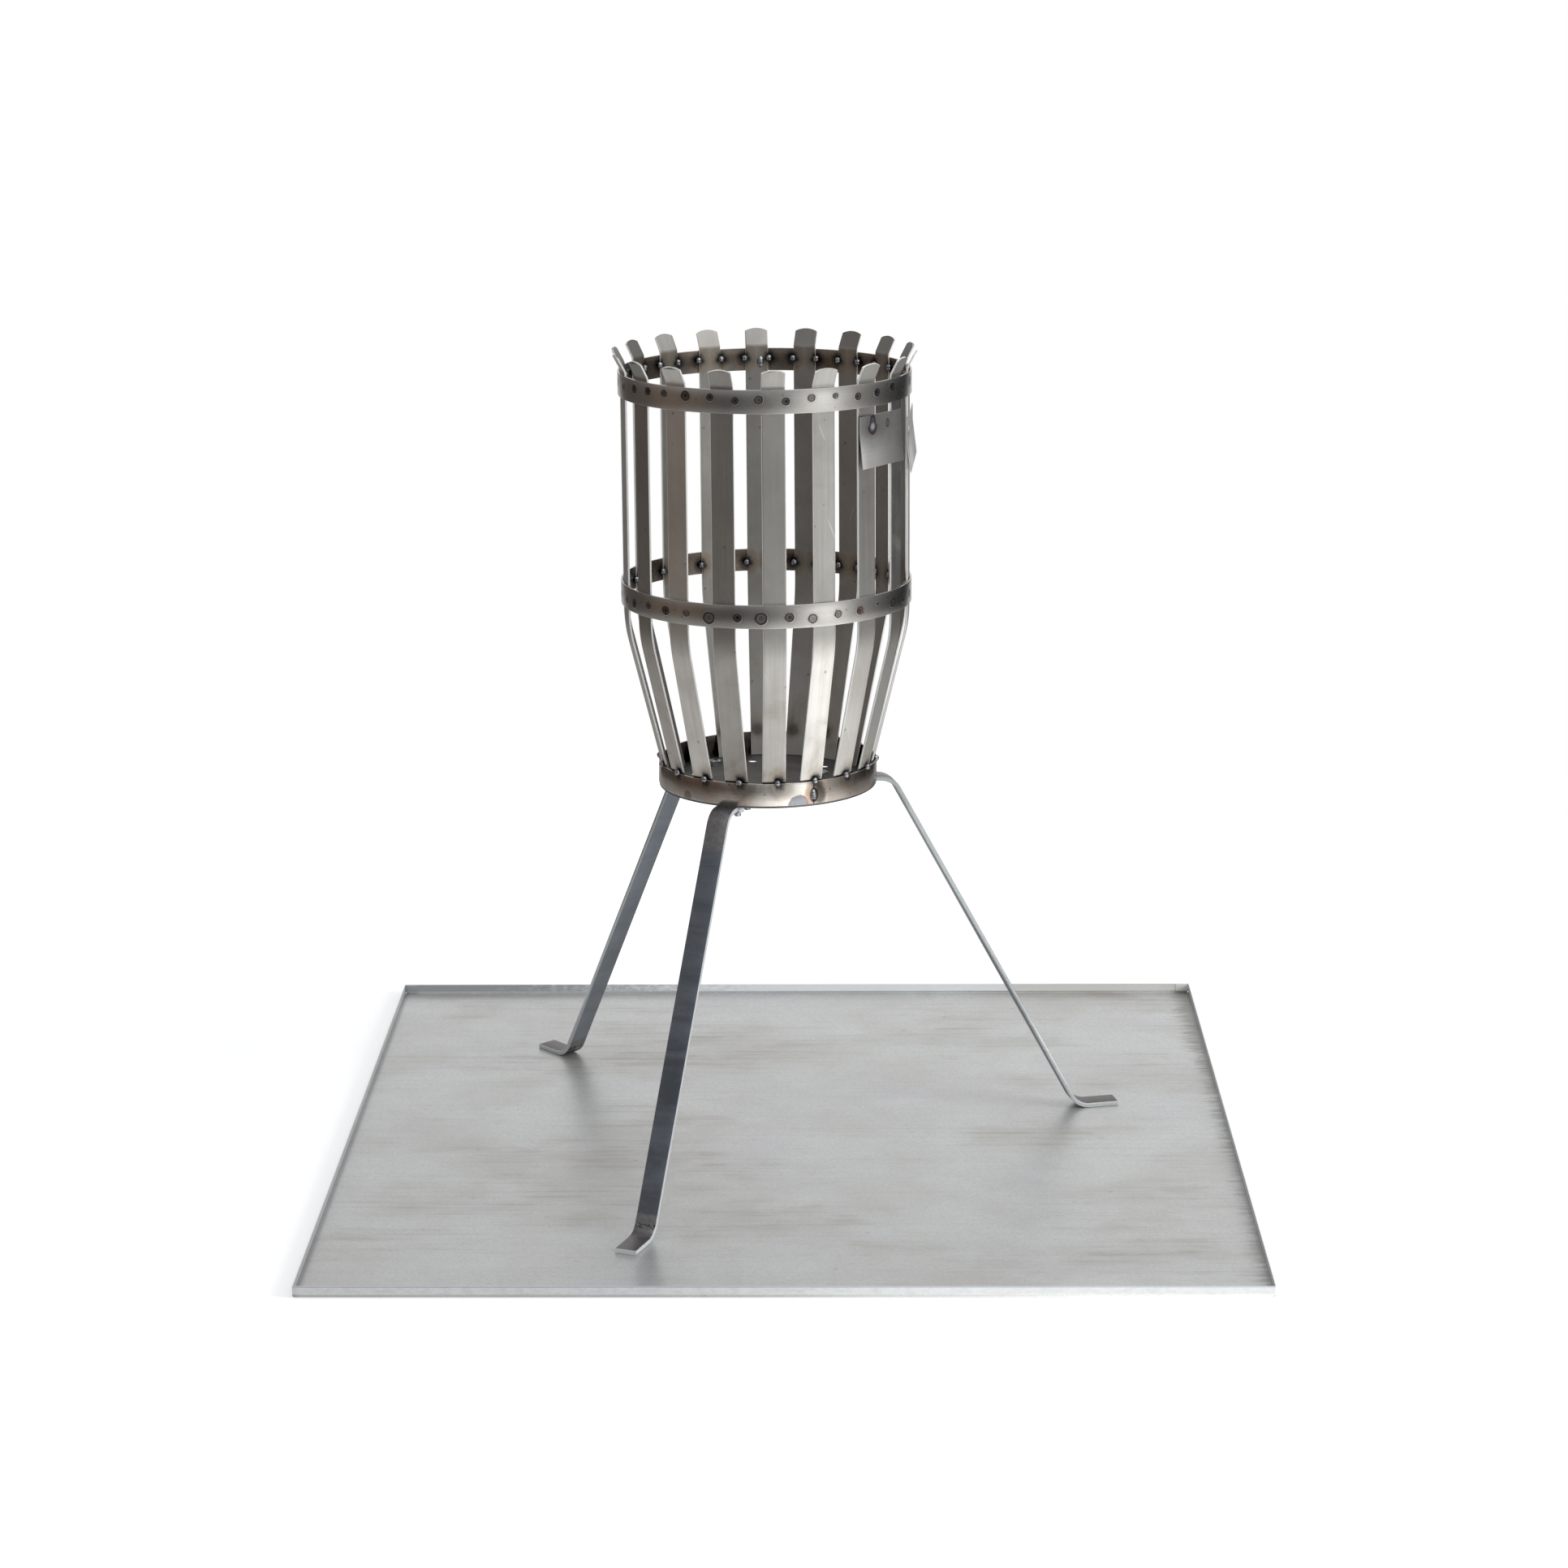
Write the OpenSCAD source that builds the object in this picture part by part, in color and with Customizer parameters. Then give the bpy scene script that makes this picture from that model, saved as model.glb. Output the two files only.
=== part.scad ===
// Fire basket of bent steel strip on three bolted legs, standing loose in a folded galvanised tray.
// The origin is the middle of the tray's underside, with Z up and the front towards -Y.

/* [Tray] */
// Width of the tray, left to right
tray_w = 988; // [900:1:1200]
// Depth of the tray, front to back
tray_d = 1000; // [900:1:1200]
// Thickness of the tray's sheet
tray_t = 1; // [0.8:0.1:2]
// Height of the folded rim
rim_h = 12; // [8:0.5:30]
// Inside radius of the rim's fold
fold_r = 1; // [0.5:0.25:3]

/* [Where the basket stands] */
// Distance of the basket's axis from the tray's middle, towards +X
basket_x = -22; // [-40:1:40]
// Distance of the basket's axis from the tray's middle, towards +Y
basket_y = -6; // [-40:1:40]

/* [Legs] */
// Height of the basket's floor plate above the tray
stand_h = 407; // [300:1:600]
// Distance from the basket's axis to the end of a foot
foot_reach = 405; // [330:1:420]
// Length of the flat foot, from the corner of its bend
foot_len = 48; // [36:1:70]
// Distance from the basket's axis to the corner of the shoulder bend
shoulder_reach = 139; // [130:1:180]
// Distance from the basket's axis to the inner end of a leg
root_reach = 42; // [24:1:46]
// Width of the legs' flat bar
leg_w = 24; // [18:1:34]
// Thickness of the legs' flat bar
leg_t = 5; // [3:0.5:8]
// Bend radius in the middle of the bar
leg_bend_r = 24; // [12:1:30]
// Direction of the right leg, from +X towards +Y
leg_turn = 13; // [0:0.5:40]
// How far the front leg is set off from an even third of a turn
front_leg_set = -3.6; // [-6:0.1:6]

/* [Hoops and floor plate] */
// Outside radius of the top and middle hoops
hoop_r = 158; // [140:1:190]
// Outside radius of the bottom hoop
base_r = 120; // [112:1:138]
// Height of the hoops' strip
hoop_h = 25; // [18:1:32]
// Thickness of the hoops' strip
hoop_t = 2; // [1.5:0.5:4]
// Height of the middle hoop's lower edge above the floor plate's underside
middle_rise = 205; // [150:1:300]
// Height of the top hoop's lower edge above the floor plate's underside
top_rise = 432; // [360:1:560]
// Thickness of the floor plate
plate_t = 2; // [1.5:0.5:5]
// How far the floor plate's edge stands back from the bottom hoop's face
plate_inset = 0.5; // [0:0.25:1.5]
// Diameter of the drain holes
drain_d = 12; // [6:1:16]
// Radius of the ring of drain holes
drain_ring_r = 84; // [80:1:95]

/* [Staves] */
// Width of a stave
stave_w = 25; // [18:1:32]
// Thickness of a stave
stave_t = 2; // [1:0.5:3]
// Direction of the first stave, from the front towards the right
stave_turn = 4.5; // [0:0.5:20]
// How far the knee lies below the middle hoop
knee_drop = 23; // [20:1:50]
// Radius of the knee on the stave's outer face
knee_r = 150; // [40:1:160]
// Height of the tip's bend above the top hoop
tip_bend_rise = 3; // [3:0.5:12]
// Length of a tip, along its slope
tip_len = 20; // [16:1:40]
// Lean of the tips, outwards from upright
tip_lean = 28; // [10:1:40]
// Radius of the tip's bend on the stave's outer face
tip_bend_r = 8; // [5:1:10]
// Radius of a tip's crowned end
tip_crown_r = 25; // [17:1:60]

/* [Bolts] */
// Diameter of the bolts
bolt_d = 8; // [6:1:8]
// Length of a bolt under its head
bolt_len = 20; // [18:1:30]
// Width across the flats of the heads and nuts
hex_w = 13; // [12:1:14]
// Height of a bolt's head
head_h = 5.3; // [4:0.1:6]
// Height of a nut
nut_h = 6.5; // [5:0.1:7]
// Diameter of the washers
washer_d = 16; // [15:1:20]
// Thickness of the washers
washer_t = 1.6; // [1:0.1:2]
// Distance from the basket's axis to the inner bolts
inner_bolt_r = 61; // [58:1:66]
// Distance from the basket's axis to the outer bolts
outer_bolt_r = 89; // [84:1:98]

/* [Welds] */
// Radius of the weld bead that holds a stave to the bottom hoop
bead_r = 3.8; // [3:0.1:5]
// Angle by which those beads lie to the right of their stave's middle
bead_turn = 1.8; // [-3:0.1:3]
// Radius of the weld beads inside the two upper hoops, where they meet the staves' edges
hoop_bead_r = 3.6; // [3:0.1:4]
// Distance of those beads from the stave's edge
hoop_bead_out = 1; // [0:0.1:2]
// How far they lie above the middle of the top hoop, and below that of the middle hoop
hoop_bead_shift = 2; // [0:0.5:5]
// Width of a weld over a hoop's butt joint
seam_w = 9; // [6:0.5:12]
// Length of that weld
seam_len = 14; // [12:0.5:16]
// Height of that weld above the hoop
seam_proud = 2; // [1:0.25:3]
// How far its middle lies below the hoop's
seam_drop = 2.5; // [0:0.5:4]
// Gap in a hoop's butt joint
joint_gap = 1; // [0.6:0.1:2]

/* [Name plates] */
// Width of a plate
tag_w = 75; // [50:1:80]
// Height of a plate
tag_h = 55; // [40:1:70]
// Thickness of a plate
tag_t = 1; // [0.6:0.1:2]
// Distance from the top hoop's lower edge down to the front plate
tag_drop = 9; // [4:0.5:40]
// Height of the strip that lies flat on the staves
tag_flat = 18; // [12:1:30]
// Lean of the rest of the plate, outwards
tag_lean = 6; // [0:0.5:12]
// Bend radius of the plate
tag_bend_r = 30; // [10:1:60]
// Shift of the front plate to the left of the gap that it bridges
tag_shift = 6; // [-10:1:10]
// Distance from the top hoop's lower edge down to the side plate
side_tag_drop = 22; // [12:0.5:60]
// Turn of the side plate in its own plane
side_tag_turn = 8; // [0:0.5:12]

/* [Clearances] */
// Gap between pieces that are welded or bolted together
seat_gap = 0.1; // [0.05:0.01:0.2]
// Width of a bolt's hole over the bolt
hole_play = 1; // [0.5:0.1:1.5]
// Width of a nut's or washer's bore over the bolt
bore_play = 0.3; // [0.2:0.05:0.6]

/* [Hidden] */
$fn = 96;
// Steps along each bend and along each half of a crowned end
bend_steps = 8;
leg_names = ["right", "left", "front"];
stave_n = 18;
stave_pitch = 360 / stave_n;
stave_nodes = [for (i = [1:stave_n]) str("stave_", i < 10 ? "0" : "", i)];
leg_nodes = [for (name = leg_names) str("leg_", name)];
// Which gap between staves the front plate bridges, and which stave carries the side plate
tag_gap_index = 2.5;
side_tag_index = 4;
// Where each hoop's butt joint is, from the front towards the right
bottom_joint_turn = 25.5;
middle_joint_turn = 174;
top_joint_turn = 183;
// Turns of the beads inside the upper hoops, so that the poles of their balls lie clear of the cuts
bead_pole_turns = [35, 25, 15];
// Overrun of every cut
cut = 1;
fold_reach = fold_r + tray_t;
plate_z = tray_t + seat_gap + stand_h;
floor_z = plate_z + plate_t;
foot_z = tray_t + seat_gap;
bottom_z = floor_z + seat_gap;
middle_z = plate_z + middle_rise;
top_z = plate_z + top_rise;
hoop_tops = [bottom_z + hoop_h, middle_z + hoop_h, top_z + hoop_h];
// Distance from the axis to a stave's flat outer face, where its two edges meet a hoop of inside radius r
function face_reach(r) = sqrt(pow(r - seat_gap, 2) - pow(stave_w / 2, 2));
upper_reach = face_reach(hoop_r - hoop_t);
base_reach = face_reach(base_r - hoop_t);
// Distance from the axis to a stave's outer edges
edge_reach = hoop_r - hoop_t - seat_gap;
knee_z = middle_z - knee_drop;
// Slope of a stave below its knee, as radial run over rise
taper = (upper_reach - base_reach) / (knee_z - hoop_tops[0]);
foot_of_stave_z = floor_z + seat_gap;
foot_of_stave_reach = base_reach - taper * (hoop_tops[0] - foot_of_stave_z);
tip_bend_z = hoop_tops[2] + tip_bend_rise;
tip_top_z = tip_bend_z + tip_len * cos(tip_lean);
tip_top_reach = upper_reach + tip_len * sin(tip_lean);
drain_turns = [for (k = [0:2]) for (side = [-1, 1]) k * 120 + side * 30];
// Half of a bead's outline, round at its ends
seam_outline = [for (i = [-bend_steps:bend_steps])
    [seam_w / 2 * cos(90 * i / bend_steps), seam_len / 2 * sin(90 * i / bend_steps)]];
hole_d = bolt_d + hole_play;
bore_d = bolt_d + bore_play;

// Geometry of bent strip

function unit(v) = v / norm(v);
function left_of(v) = [-v[1], v[0]];
function turned(v, a) = [v[0] * cos(a) - v[1] * sin(a), v[0] * sin(a) + v[1] * cos(a)];

// Points round the bend at b, on a line that runs off to the left of the path a-b-c; r is the path's own radius
function bend(a, b, c, r, off) =
    let (u = unit(b - a), v = unit(c - b), turn = atan2(u[0] * v[1] - u[1] * v[0], u * v), side = sign(turn))
    let (start = b - u * r * tan(abs(turn) / 2), centre = start + left_of(u) * r * side)
    [for (i = [0:bend_steps]) centre - turned(left_of(u), turn * i / bend_steps) * side * (r - side * off)];

// One side of a strip that follows the path, with bend radii rs at its inner corners
function strip_side(path, rs, off) = let (n = len(path) - 1) concat(
    [path[0] + left_of(unit(path[1] - path[0])) * off],
    [for (k = [1:n - 1]) for (p = bend(path[k - 1], path[k], path[k + 1], rs[k - 1], off)) p],
    [path[n] + left_of(unit(path[n] - path[n - 1])) * off]);

function reversed(list) = [for (i = [len(list) - 1:-1:0]) list[i]];

// Outline of a bent strip seen edge-on, between two distances to the left of its path
function strip(path, rs, from, to) = concat(strip_side(path, rs, from), reversed(strip_side(path, rs, to)));

// Stands an outline of (distance from the axis, height) upright, facing the angle from +X, w wide
module upright(angle, w)
    rotate([90, 0, angle])
        linear_extrude(height = w, center = true)
            children();

module at_basket()
    translate([basket_x, basket_y, 0])
        children();

function stave_angle(i) = stave_turn + stave_pitch * i - 90;
function leg_angle(k) = leg_turn + 120 * k + (leg_names[k] == "front" ? front_leg_set : 0);

// Tray

module rim(length)
    linear_extrude(height = length, center = true)
        polygon(strip([[-fold_reach, 0], [0, 0], [0, rim_h]], [fold_reach], 0, tray_t));

module side_rims(length, reach)
    for (turn = [0, 180])
        rotate(turn)
            translate([reach, 0, 0])
                rotate([90, 0, 0])
                    rim(length);

module tray()
    color("silver") {
        flat_w = tray_w - 2 * fold_reach;
        flat_d = tray_d - 2 * fold_reach;
        translate([-flat_w / 2, -flat_d / 2, 0])
            cube([flat_w, flat_d, tray_t]);
        side_rims(flat_d, tray_w / 2);
        rotate(90)
            side_rims(tray_w, tray_d / 2);
    }

// Basket shell

module floor_plate()
    color("dimgray")
        at_basket()
            translate([0, 0, plate_z])
                difference() {
                    cylinder(r = base_r - plate_inset, h = plate_t);
                    for (turn = drain_turns)
                        rotate(turn + leg_turn)
                            translate([drain_ring_r, 0, -cut])
                                cylinder(d = drain_d, h = plate_t + 2 * cut);
                    translate([0, 0, -cut])
                        cylinder(d = drain_d, h = plate_t + 2 * cut);
                    at_bolts()
                        translate([0, 0, -cut])
                            cylinder(d = hole_d, h = plate_t + 2 * cut);
                }

module hoop(r, z, joint_turn)
    color("gray")
        at_basket()
            translate([0, 0, z])
                difference() {
                    cylinder(r = r, h = hoop_h);
                    translate([0, 0, -cut])
                        cylinder(r = r - hoop_t, h = hoop_h + 2 * cut);
                    rotate(joint_turn - 90)
                        translate([r - hoop_t - cut, -joint_gap / 2, -cut])
                            cube([hoop_t + 2 * cut, joint_gap, hoop_h + 2 * cut]);
                }

module bottom_hoop()
    hoop(base_r, bottom_z, bottom_joint_turn);

module middle_hoop()
    hoop(hoop_r, middle_z, middle_joint_turn);

module top_hoop()
    hoop(hoop_r, top_z, top_joint_turn);

// Front view of a stave: a strip with a crowned top, whose arc leans with the tip
function stave_front(top) = let (half = stave_w / 2, low = foot_of_stave_z - cut, reach = asin(half / tip_crown_r))
    concat([[-half, low], [half, low]], [for (i = [bend_steps:-1:-bend_steps]) let (a = reach * i / bend_steps)
        [tip_crown_r * sin(a), top - tip_crown_r * (1 - cos(a)) * cos(tip_lean)]]);

module stave(i) {
    path = [[foot_of_stave_reach, foot_of_stave_z], [upper_reach, knee_z], [upper_reach, tip_bend_z],
        [tip_top_reach, tip_top_z]];
    tip_edge_z = tip_top_z + stave_t * sin(tip_lean);
    color("lightslategray")
        at_basket()
            intersection() {
                upright(stave_angle(i), stave_w + 2 * cut)
                    polygon(strip(path, [knee_r, tip_bend_r], 0, stave_t));
                rotate([90, 0, stave_angle(i) + 90])
                    linear_extrude(height = tip_top_reach + cut)
                        polygon(stave_front(tip_edge_z));
            }
}

// Legs

leg_path = [[root_reach, plate_z - leg_t / 2], [shoulder_reach, plate_z - leg_t / 2],
    [foot_reach - foot_len, foot_z + leg_t / 2], [foot_reach, foot_z + leg_t / 2]];

module leg(k)
    color("darkslategray")
        at_basket()
            difference() {
                upright(leg_angle(k), leg_w)
                    polygon(strip(leg_path, [leg_bend_r, leg_bend_r], -leg_t / 2, leg_t / 2));
                at_leg_bolts(k)
                    translate([0, 0, plate_z - leg_t - cut])
                        cylinder(d = hole_d, h = leg_t + 2 * cut);
            }

module at_leg_bolts(k)
    rotate(leg_angle(k))
        for (r = [inner_bolt_r, outer_bolt_r])
            translate([r, 0, 0])
                children();

module at_bolts()
    for (k = [0:len(leg_names) - 1])
        at_leg_bolts(k)
            children();

// Bolts, each with its head on the floor plate and its washer and nut under the leg

module hex(h)
    cylinder(d = hex_w / cos(30), h = h, $fn = 6);

module leg_bolts()
    color("gainsboro")
        at_basket()
            at_bolts()
                translate([0, 0, floor_z + seat_gap]) {
                    hex(head_h);
                    translate([0, 0, -bolt_len])
                        cylinder(d = bolt_d, h = bolt_len);
                }

washer_z = plate_z - leg_t - seat_gap - washer_t;
nut_z = washer_z - seat_gap - nut_h;

module leg_washers()
    color("gainsboro")
        at_basket()
            at_bolts()
                translate([0, 0, washer_z])
                    difference() {
                        cylinder(d = washer_d, h = washer_t);
                        translate([0, 0, -cut])
                            cylinder(d = bore_d, h = washer_t + 2 * cut);
                    }

module leg_nuts()
    color("gainsboro")
        at_basket()
            at_bolts()
                translate([0, 0, nut_z])
                    difference() {
                        hex(nut_h);
                        translate([0, 0, -cut])
                            cylinder(d = bore_d, h = nut_h + 2 * cut);
                    }

// Welds

// A bead on the outer face of a stave, over the bottom hoop's top edge
module stave_weld(i)
    difference() {
        rotate(stave_angle(i) + bead_turn)
            translate([base_r - hoop_t / 2, 0, hoop_tops[0]])
                sphere(r = bead_r);
        cylinder(r = base_r + seat_gap, h = hoop_tops[0] + seat_gap);
        upright(stave_angle(i), stave_w)
            polygon([[0, foot_of_stave_z], [foot_of_stave_reach + seat_gap, foot_of_stave_z],
                [upper_reach + seat_gap, knee_z], [0, knee_z]]);
    }

module stave_welds()
    color("whitesmoke")
        at_basket()
            for (i = [0:stave_n - 1])
                stave_weld(i);

// A bead inside a hoop, in the corner between it and one edge of a stave
module hoop_weld(i, side, z) {
    reach = hoop_bead_r + cut;
    difference() {
        rotate(stave_angle(i) + side * asin((stave_w / 2 + hoop_bead_out) / edge_reach))
            translate([edge_reach - stave_t / 2, 0, z])
                difference() {
                    rotate(bead_pole_turns)
                        sphere(r = hoop_bead_r);
                    translate([(stave_t - seat_gap) / 2, -reach, -reach])
                        cube(2 * reach);
                }
        upright(stave_angle(i), stave_w + 2 * seat_gap)
            polygon([[upper_reach - stave_t - seat_gap, z - hoop_h], [hoop_r, z - hoop_h],
                [hoop_r, z + hoop_h], [upper_reach - stave_t - seat_gap, z + hoop_h]]);
    }
}

module hoop_welds(z)
    color("whitesmoke")
        at_basket()
            for (i = [0:stave_n - 1], side = [-1, 1])
                hoop_weld(i, side, z);

module middle_hoop_welds()
    hoop_welds(middle_z + hoop_h / 2 - hoop_bead_shift);

module top_hoop_welds()
    hoop_welds(top_z + hoop_h / 2 + hoop_bead_shift);

// A bead over a hoop's butt joint, with the metal that fills the gap behind it
module joint_weld(r, z, joint_turn)
    rotate(joint_turn - 90)
        translate([r, 0, z + hoop_h / 2 - seam_drop]) {
            difference() {
                translate([seam_proud - seam_w / 2, 0, 0])
                    rotate_extrude()
                        polygon(seam_outline);
                translate([seat_gap - seam_w, -seam_w, -seam_len])
                    cube([seam_w, 2 * seam_w, 2 * seam_len]);
            }
            translate([-hoop_t, seat_gap - joint_gap / 2, -seam_len / 2])
                cube([hoop_t + seam_proud / 2, joint_gap - 2 * seat_gap, seam_len]);
        }

module hoop_joint_welds()
    color("whitesmoke")
        at_basket() {
            joint_weld(base_r, bottom_z, bottom_joint_turn);
            joint_weld(hoop_r, middle_z, middle_joint_turn);
            joint_weld(hoop_r, top_z, top_joint_turn);
        }

// Name plates, bare

// Seen edge-on with its top edge at height 0: flat on the staves above, leaning out below
module tag()
    color("silver")
        translate([seat_gap, 0, 0])
            rotate([90, 0, 0])
                linear_extrude(height = tag_w, center = true)
                    polygon(strip([[0, 0], [0, -tag_flat],
                        [(tag_h - tag_flat) * sin(tag_lean), -tag_flat - (tag_h - tag_flat) * cos(tag_lean)]],
                        [tag_bend_r], 0, tag_t));

// The front plate touches the facing edges of the two staves beside the gap
module front_tag()
    at_basket()
        rotate(stave_angle(tag_gap_index))
            translate([edge_reach * cos(stave_pitch / 2 - asin(stave_w / 2 / edge_reach)), -tag_shift,
                top_z - tag_drop])
                tag();

// The side plate lies flat on one stave, a little askew
module side_tag()
    at_basket()
        rotate(stave_angle(side_tag_index))
            translate([upper_reach, 0, top_z - side_tag_drop])
                rotate([side_tag_turn, 0, 0])
                    tag();

tray();
floor_plate();
bottom_hoop();
middle_hoop();
top_hoop();
for (i = [0:stave_n - 1])
    stave(i);
for (k = [0:len(leg_names) - 1])
    leg(k);
leg_bolts();
leg_washers();
leg_nuts();
stave_welds();
middle_hoop_welds();
top_hoop_welds();
hoop_joint_welds();
front_tag();
side_tag();
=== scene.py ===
# %% [markdown]
# # A fire basket of steel strip, standing in a galvanised tray
#
# The basket is a barrel of eighteen flat staves inside three hoops, on three
# bent legs. It stands loose in a shallow tray of folded sheet. The frame comes
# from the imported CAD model, where every size is already settled. This lesson
# rebuilds each visible piece with rounded edges and real bends, and gives each
# kind of steel its own finish: rolled, heat tinted, mill scaled or galvanised.

# %% Load the frame
import math
import random

import bmesh
import bpy
from mathutils import Matrix, Vector, noise


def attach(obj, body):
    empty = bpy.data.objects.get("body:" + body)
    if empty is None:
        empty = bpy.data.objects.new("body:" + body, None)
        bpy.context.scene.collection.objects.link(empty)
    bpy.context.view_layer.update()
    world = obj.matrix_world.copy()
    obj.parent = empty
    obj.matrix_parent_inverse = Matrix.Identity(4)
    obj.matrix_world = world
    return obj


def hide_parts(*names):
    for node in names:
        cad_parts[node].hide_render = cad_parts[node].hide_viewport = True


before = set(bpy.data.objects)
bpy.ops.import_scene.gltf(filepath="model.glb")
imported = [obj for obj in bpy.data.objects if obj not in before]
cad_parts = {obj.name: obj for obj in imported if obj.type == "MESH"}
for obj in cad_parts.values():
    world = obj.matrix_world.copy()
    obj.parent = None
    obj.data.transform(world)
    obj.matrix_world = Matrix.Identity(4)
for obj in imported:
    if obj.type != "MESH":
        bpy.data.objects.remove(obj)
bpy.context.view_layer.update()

# %% [markdown]
# ## The sizes that the pieces share
#
# They are the same numbers as in the CAD source, in millimetres, and every
# piece turns them into metres as it is made. Angles called a turn are counted
# from the front towards the right, as one walks round the basket.

# %% Sizes
MM = 0.001
AXIS = Vector((-0.022, -0.006, 0.0))
STAVE_COUNT = 18
STAVE_TURNS = [4.5 + 20 * i for i in range(STAVE_COUNT)]
LEG_ANGLES = {"right": 13.0, "left": 133.0, "front": 249.4}
STRIP_W = 25.0
HOOP_R, BASE_R = 158.0, 120.0
BOTTOM_Z, MIDDLE_Z, TOP_Z = 410.2, 613.1, 840.1
PLATE_Z = 408.1
print("a stave every", STAVE_TURNS[1] - STAVE_TURNS[0], "degrees")

# %% [markdown]
# ## Helpers for modelling
#
# All the bent pieces here are bars: a small rounded rectangle that travels
# along a path. `bar_section` makes the rectangle from a grid whose corners are
# bevelled. `travel` carries its edges along: straight stretches are extruded,
# and each bend is a spin about the bend's own centre, so a bend has the true
# radius. `settle` closes the work: normals outwards, smooth shading that stops
# at real corners, and the piece's place in the frame.

# %% Modelling helpers
def bar_section(bm, wide, thick, corner, across, through, at, columns=1):
    """Edges of a rounded rectangle round the point at, wide along one direction and thick along another."""
    bmesh.ops.create_grid(bm, x_segments=columns, y_segments=1, size=0.5)
    bmesh.ops.scale(bm, vec=(wide * MM, thick * MM, 1), verts=bm.verts)
    ends = [v for v in bm.verts if abs(v.co.x) > 0.499 * wide * MM]
    bmesh.ops.bevel(bm, geom=ends, offset=corner * MM, offset_type="OFFSET", segments=2,
                    profile=0.5, affect="VERTICES", material=-1)
    bmesh.ops.dissolve_faces(bm, faces=bm.faces[:])
    across, through = Vector(across), Vector(through)
    stand = Matrix((across, through, across.cross(through))).transposed().to_4x4()
    stand.translation = Vector(at) * MM
    bmesh.ops.transform(bm, matrix=stand, verts=bm.verts)
    return bm.edges[:]


def last_ring(grown):
    """The verts and the edges at the far end of what an extrude or a spin has made."""
    verts = [g for g in grown if isinstance(g, bmesh.types.BMVert)]
    known = set(verts)
    edges = [g for g in grown if isinstance(g, bmesh.types.BMEdge) and all(v in known for v in g.verts)]
    return verts, edges


def ends_of(edges):
    """The verts of some edges, each once, always in the same order."""
    return list(dict.fromkeys(v for e in edges for v in e.verts))


def travel(bm, edges, path, radii, steps):
    """Carries a ring of edges along a path of (distance from the axis, height), round a bend at each corner."""
    points = [Vector((x, 0, z)) * MM for x, z in path]
    here = points[0]
    for k in range(1, len(points)):
        ahead = (points[k] - points[k - 1]).normalized()
        stop = points[k]
        bends = k < len(points) - 1
        if bends:
            after = (points[k + 1] - points[k]).normalized()
            turn, radius = ahead.angle(after), radii[k - 1] * MM
            stop = stop - ahead * radius * math.tan(turn / 2)
        verts, edges = last_ring(bmesh.ops.extrude_edge_only(bm, edges=edges)["geom"])
        bmesh.ops.translate(bm, verts=verts, vec=stop - here)
        here = stop
        if bends:
            axis = ahead.cross(after).normalized()
            spun = bmesh.ops.spin(bm, geom=verts + edges, cent=here + axis.cross(ahead) * radius,
                                  axis=axis, angle=turn, steps=steps[k - 1])
            verts, edges = last_ring(spun["geom_last"])
            here = points[k] + after * radius * math.tan(turn / 2)
    return verts, edges


def close_ring(bm, edges):
    bmesh.ops.contextual_create(bm, geom=edges)


def mark_faces(bm, name, chosen):
    """A number on every face that a finish can read: 1 where chosen(face) holds."""
    layer = bm.faces.layers.float.get(name) or bm.faces.layers.float.new(name)
    for face in bm.faces:
        face[layer] = float(chosen(face))


def flat_map(bm, name, place):
    """A UV map in metres; place(loop, face) gives both of its coordinates."""
    layer = bm.loops.layers.uv.new(name)
    for face in bm.faces:
        for loop in face.loops:
            loop[layer].uv = place(loop, face)


def turn_to(bm, angle):
    """Turns a finished shape about the basket's axis and moves it onto that axis."""
    spot = Matrix.Translation(AXIS) @ Matrix.Rotation(math.radians(angle), 4, "Z")
    bmesh.ops.transform(bm, matrix=spot, verts=bm.verts)


def settle(name, bm, material, body, nodes=(), crease=25):
    """Turns the bmesh into a finished piece that rides on its body and stands for its CAD nodes."""
    bmesh.ops.recalc_face_normals(bm, faces=bm.faces)
    mesh = bpy.data.meshes.new(name)
    bm.to_mesh(mesh)
    bm.free()
    mesh.shade_smooth()
    mesh.set_sharp_from_angle(angle=math.radians(crease))
    mesh.materials.append(material)
    piece = bpy.data.objects.new(name, mesh)
    bpy.context.collection.objects.link(piece)
    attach(piece, body)
    if nodes:
        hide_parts(*nodes)
    return piece


def copies(make, places):
    """One bmesh with a copy of a small shape at each place."""
    one = bmesh.new()
    make(one)
    pattern = bpy.data.meshes.new("pattern")
    one.to_mesh(pattern)
    one.free()
    many = bmesh.new()
    for place in places:
        known = len(many.verts)
        many.from_mesh(pattern)
        many.verts.ensure_lookup_table()
        bmesh.ops.transform(many, matrix=place, verts=many.verts[known:])
    bpy.data.meshes.remove(pattern)
    return many


def on_basket(angle, reach, z):
    """The place at an angle from +X, a distance from the basket's axis and a height, in millimetres."""
    out = Matrix.Translation((reach * MM, 0, z * MM))
    return Matrix.Translation(AXIS) @ Matrix.Rotation(math.radians(angle), 4, "Z") @ out


print("helpers ready")

# %% [markdown]
# ## Helpers for finishes
#
# A finish is a short chain of nodes: coordinates, patterns, masks, and one
# Principled shader. These helpers only save typing. `join` takes either a
# number or another node's output, `fade` is a soft step between two values,
# and `tone` turns a colour as it looks on screen into the linear numbers that
# the shader wants.

# %% Finish helpers
def tone(red, green, blue):
    """A screen colour of 0 to 255 as linear values."""
    values = [v / 255 for v in (red, green, blue)]
    return [v / 12.92 if v < 0.04045 else ((v + 0.055) / 1.055) ** 2.4 for v in values] + [1.0]


def join(tree, value, socket):
    if isinstance(value, bpy.types.NodeSocket):
        tree.links.new(value, socket)
    else:
        socket.default_value = value


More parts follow.
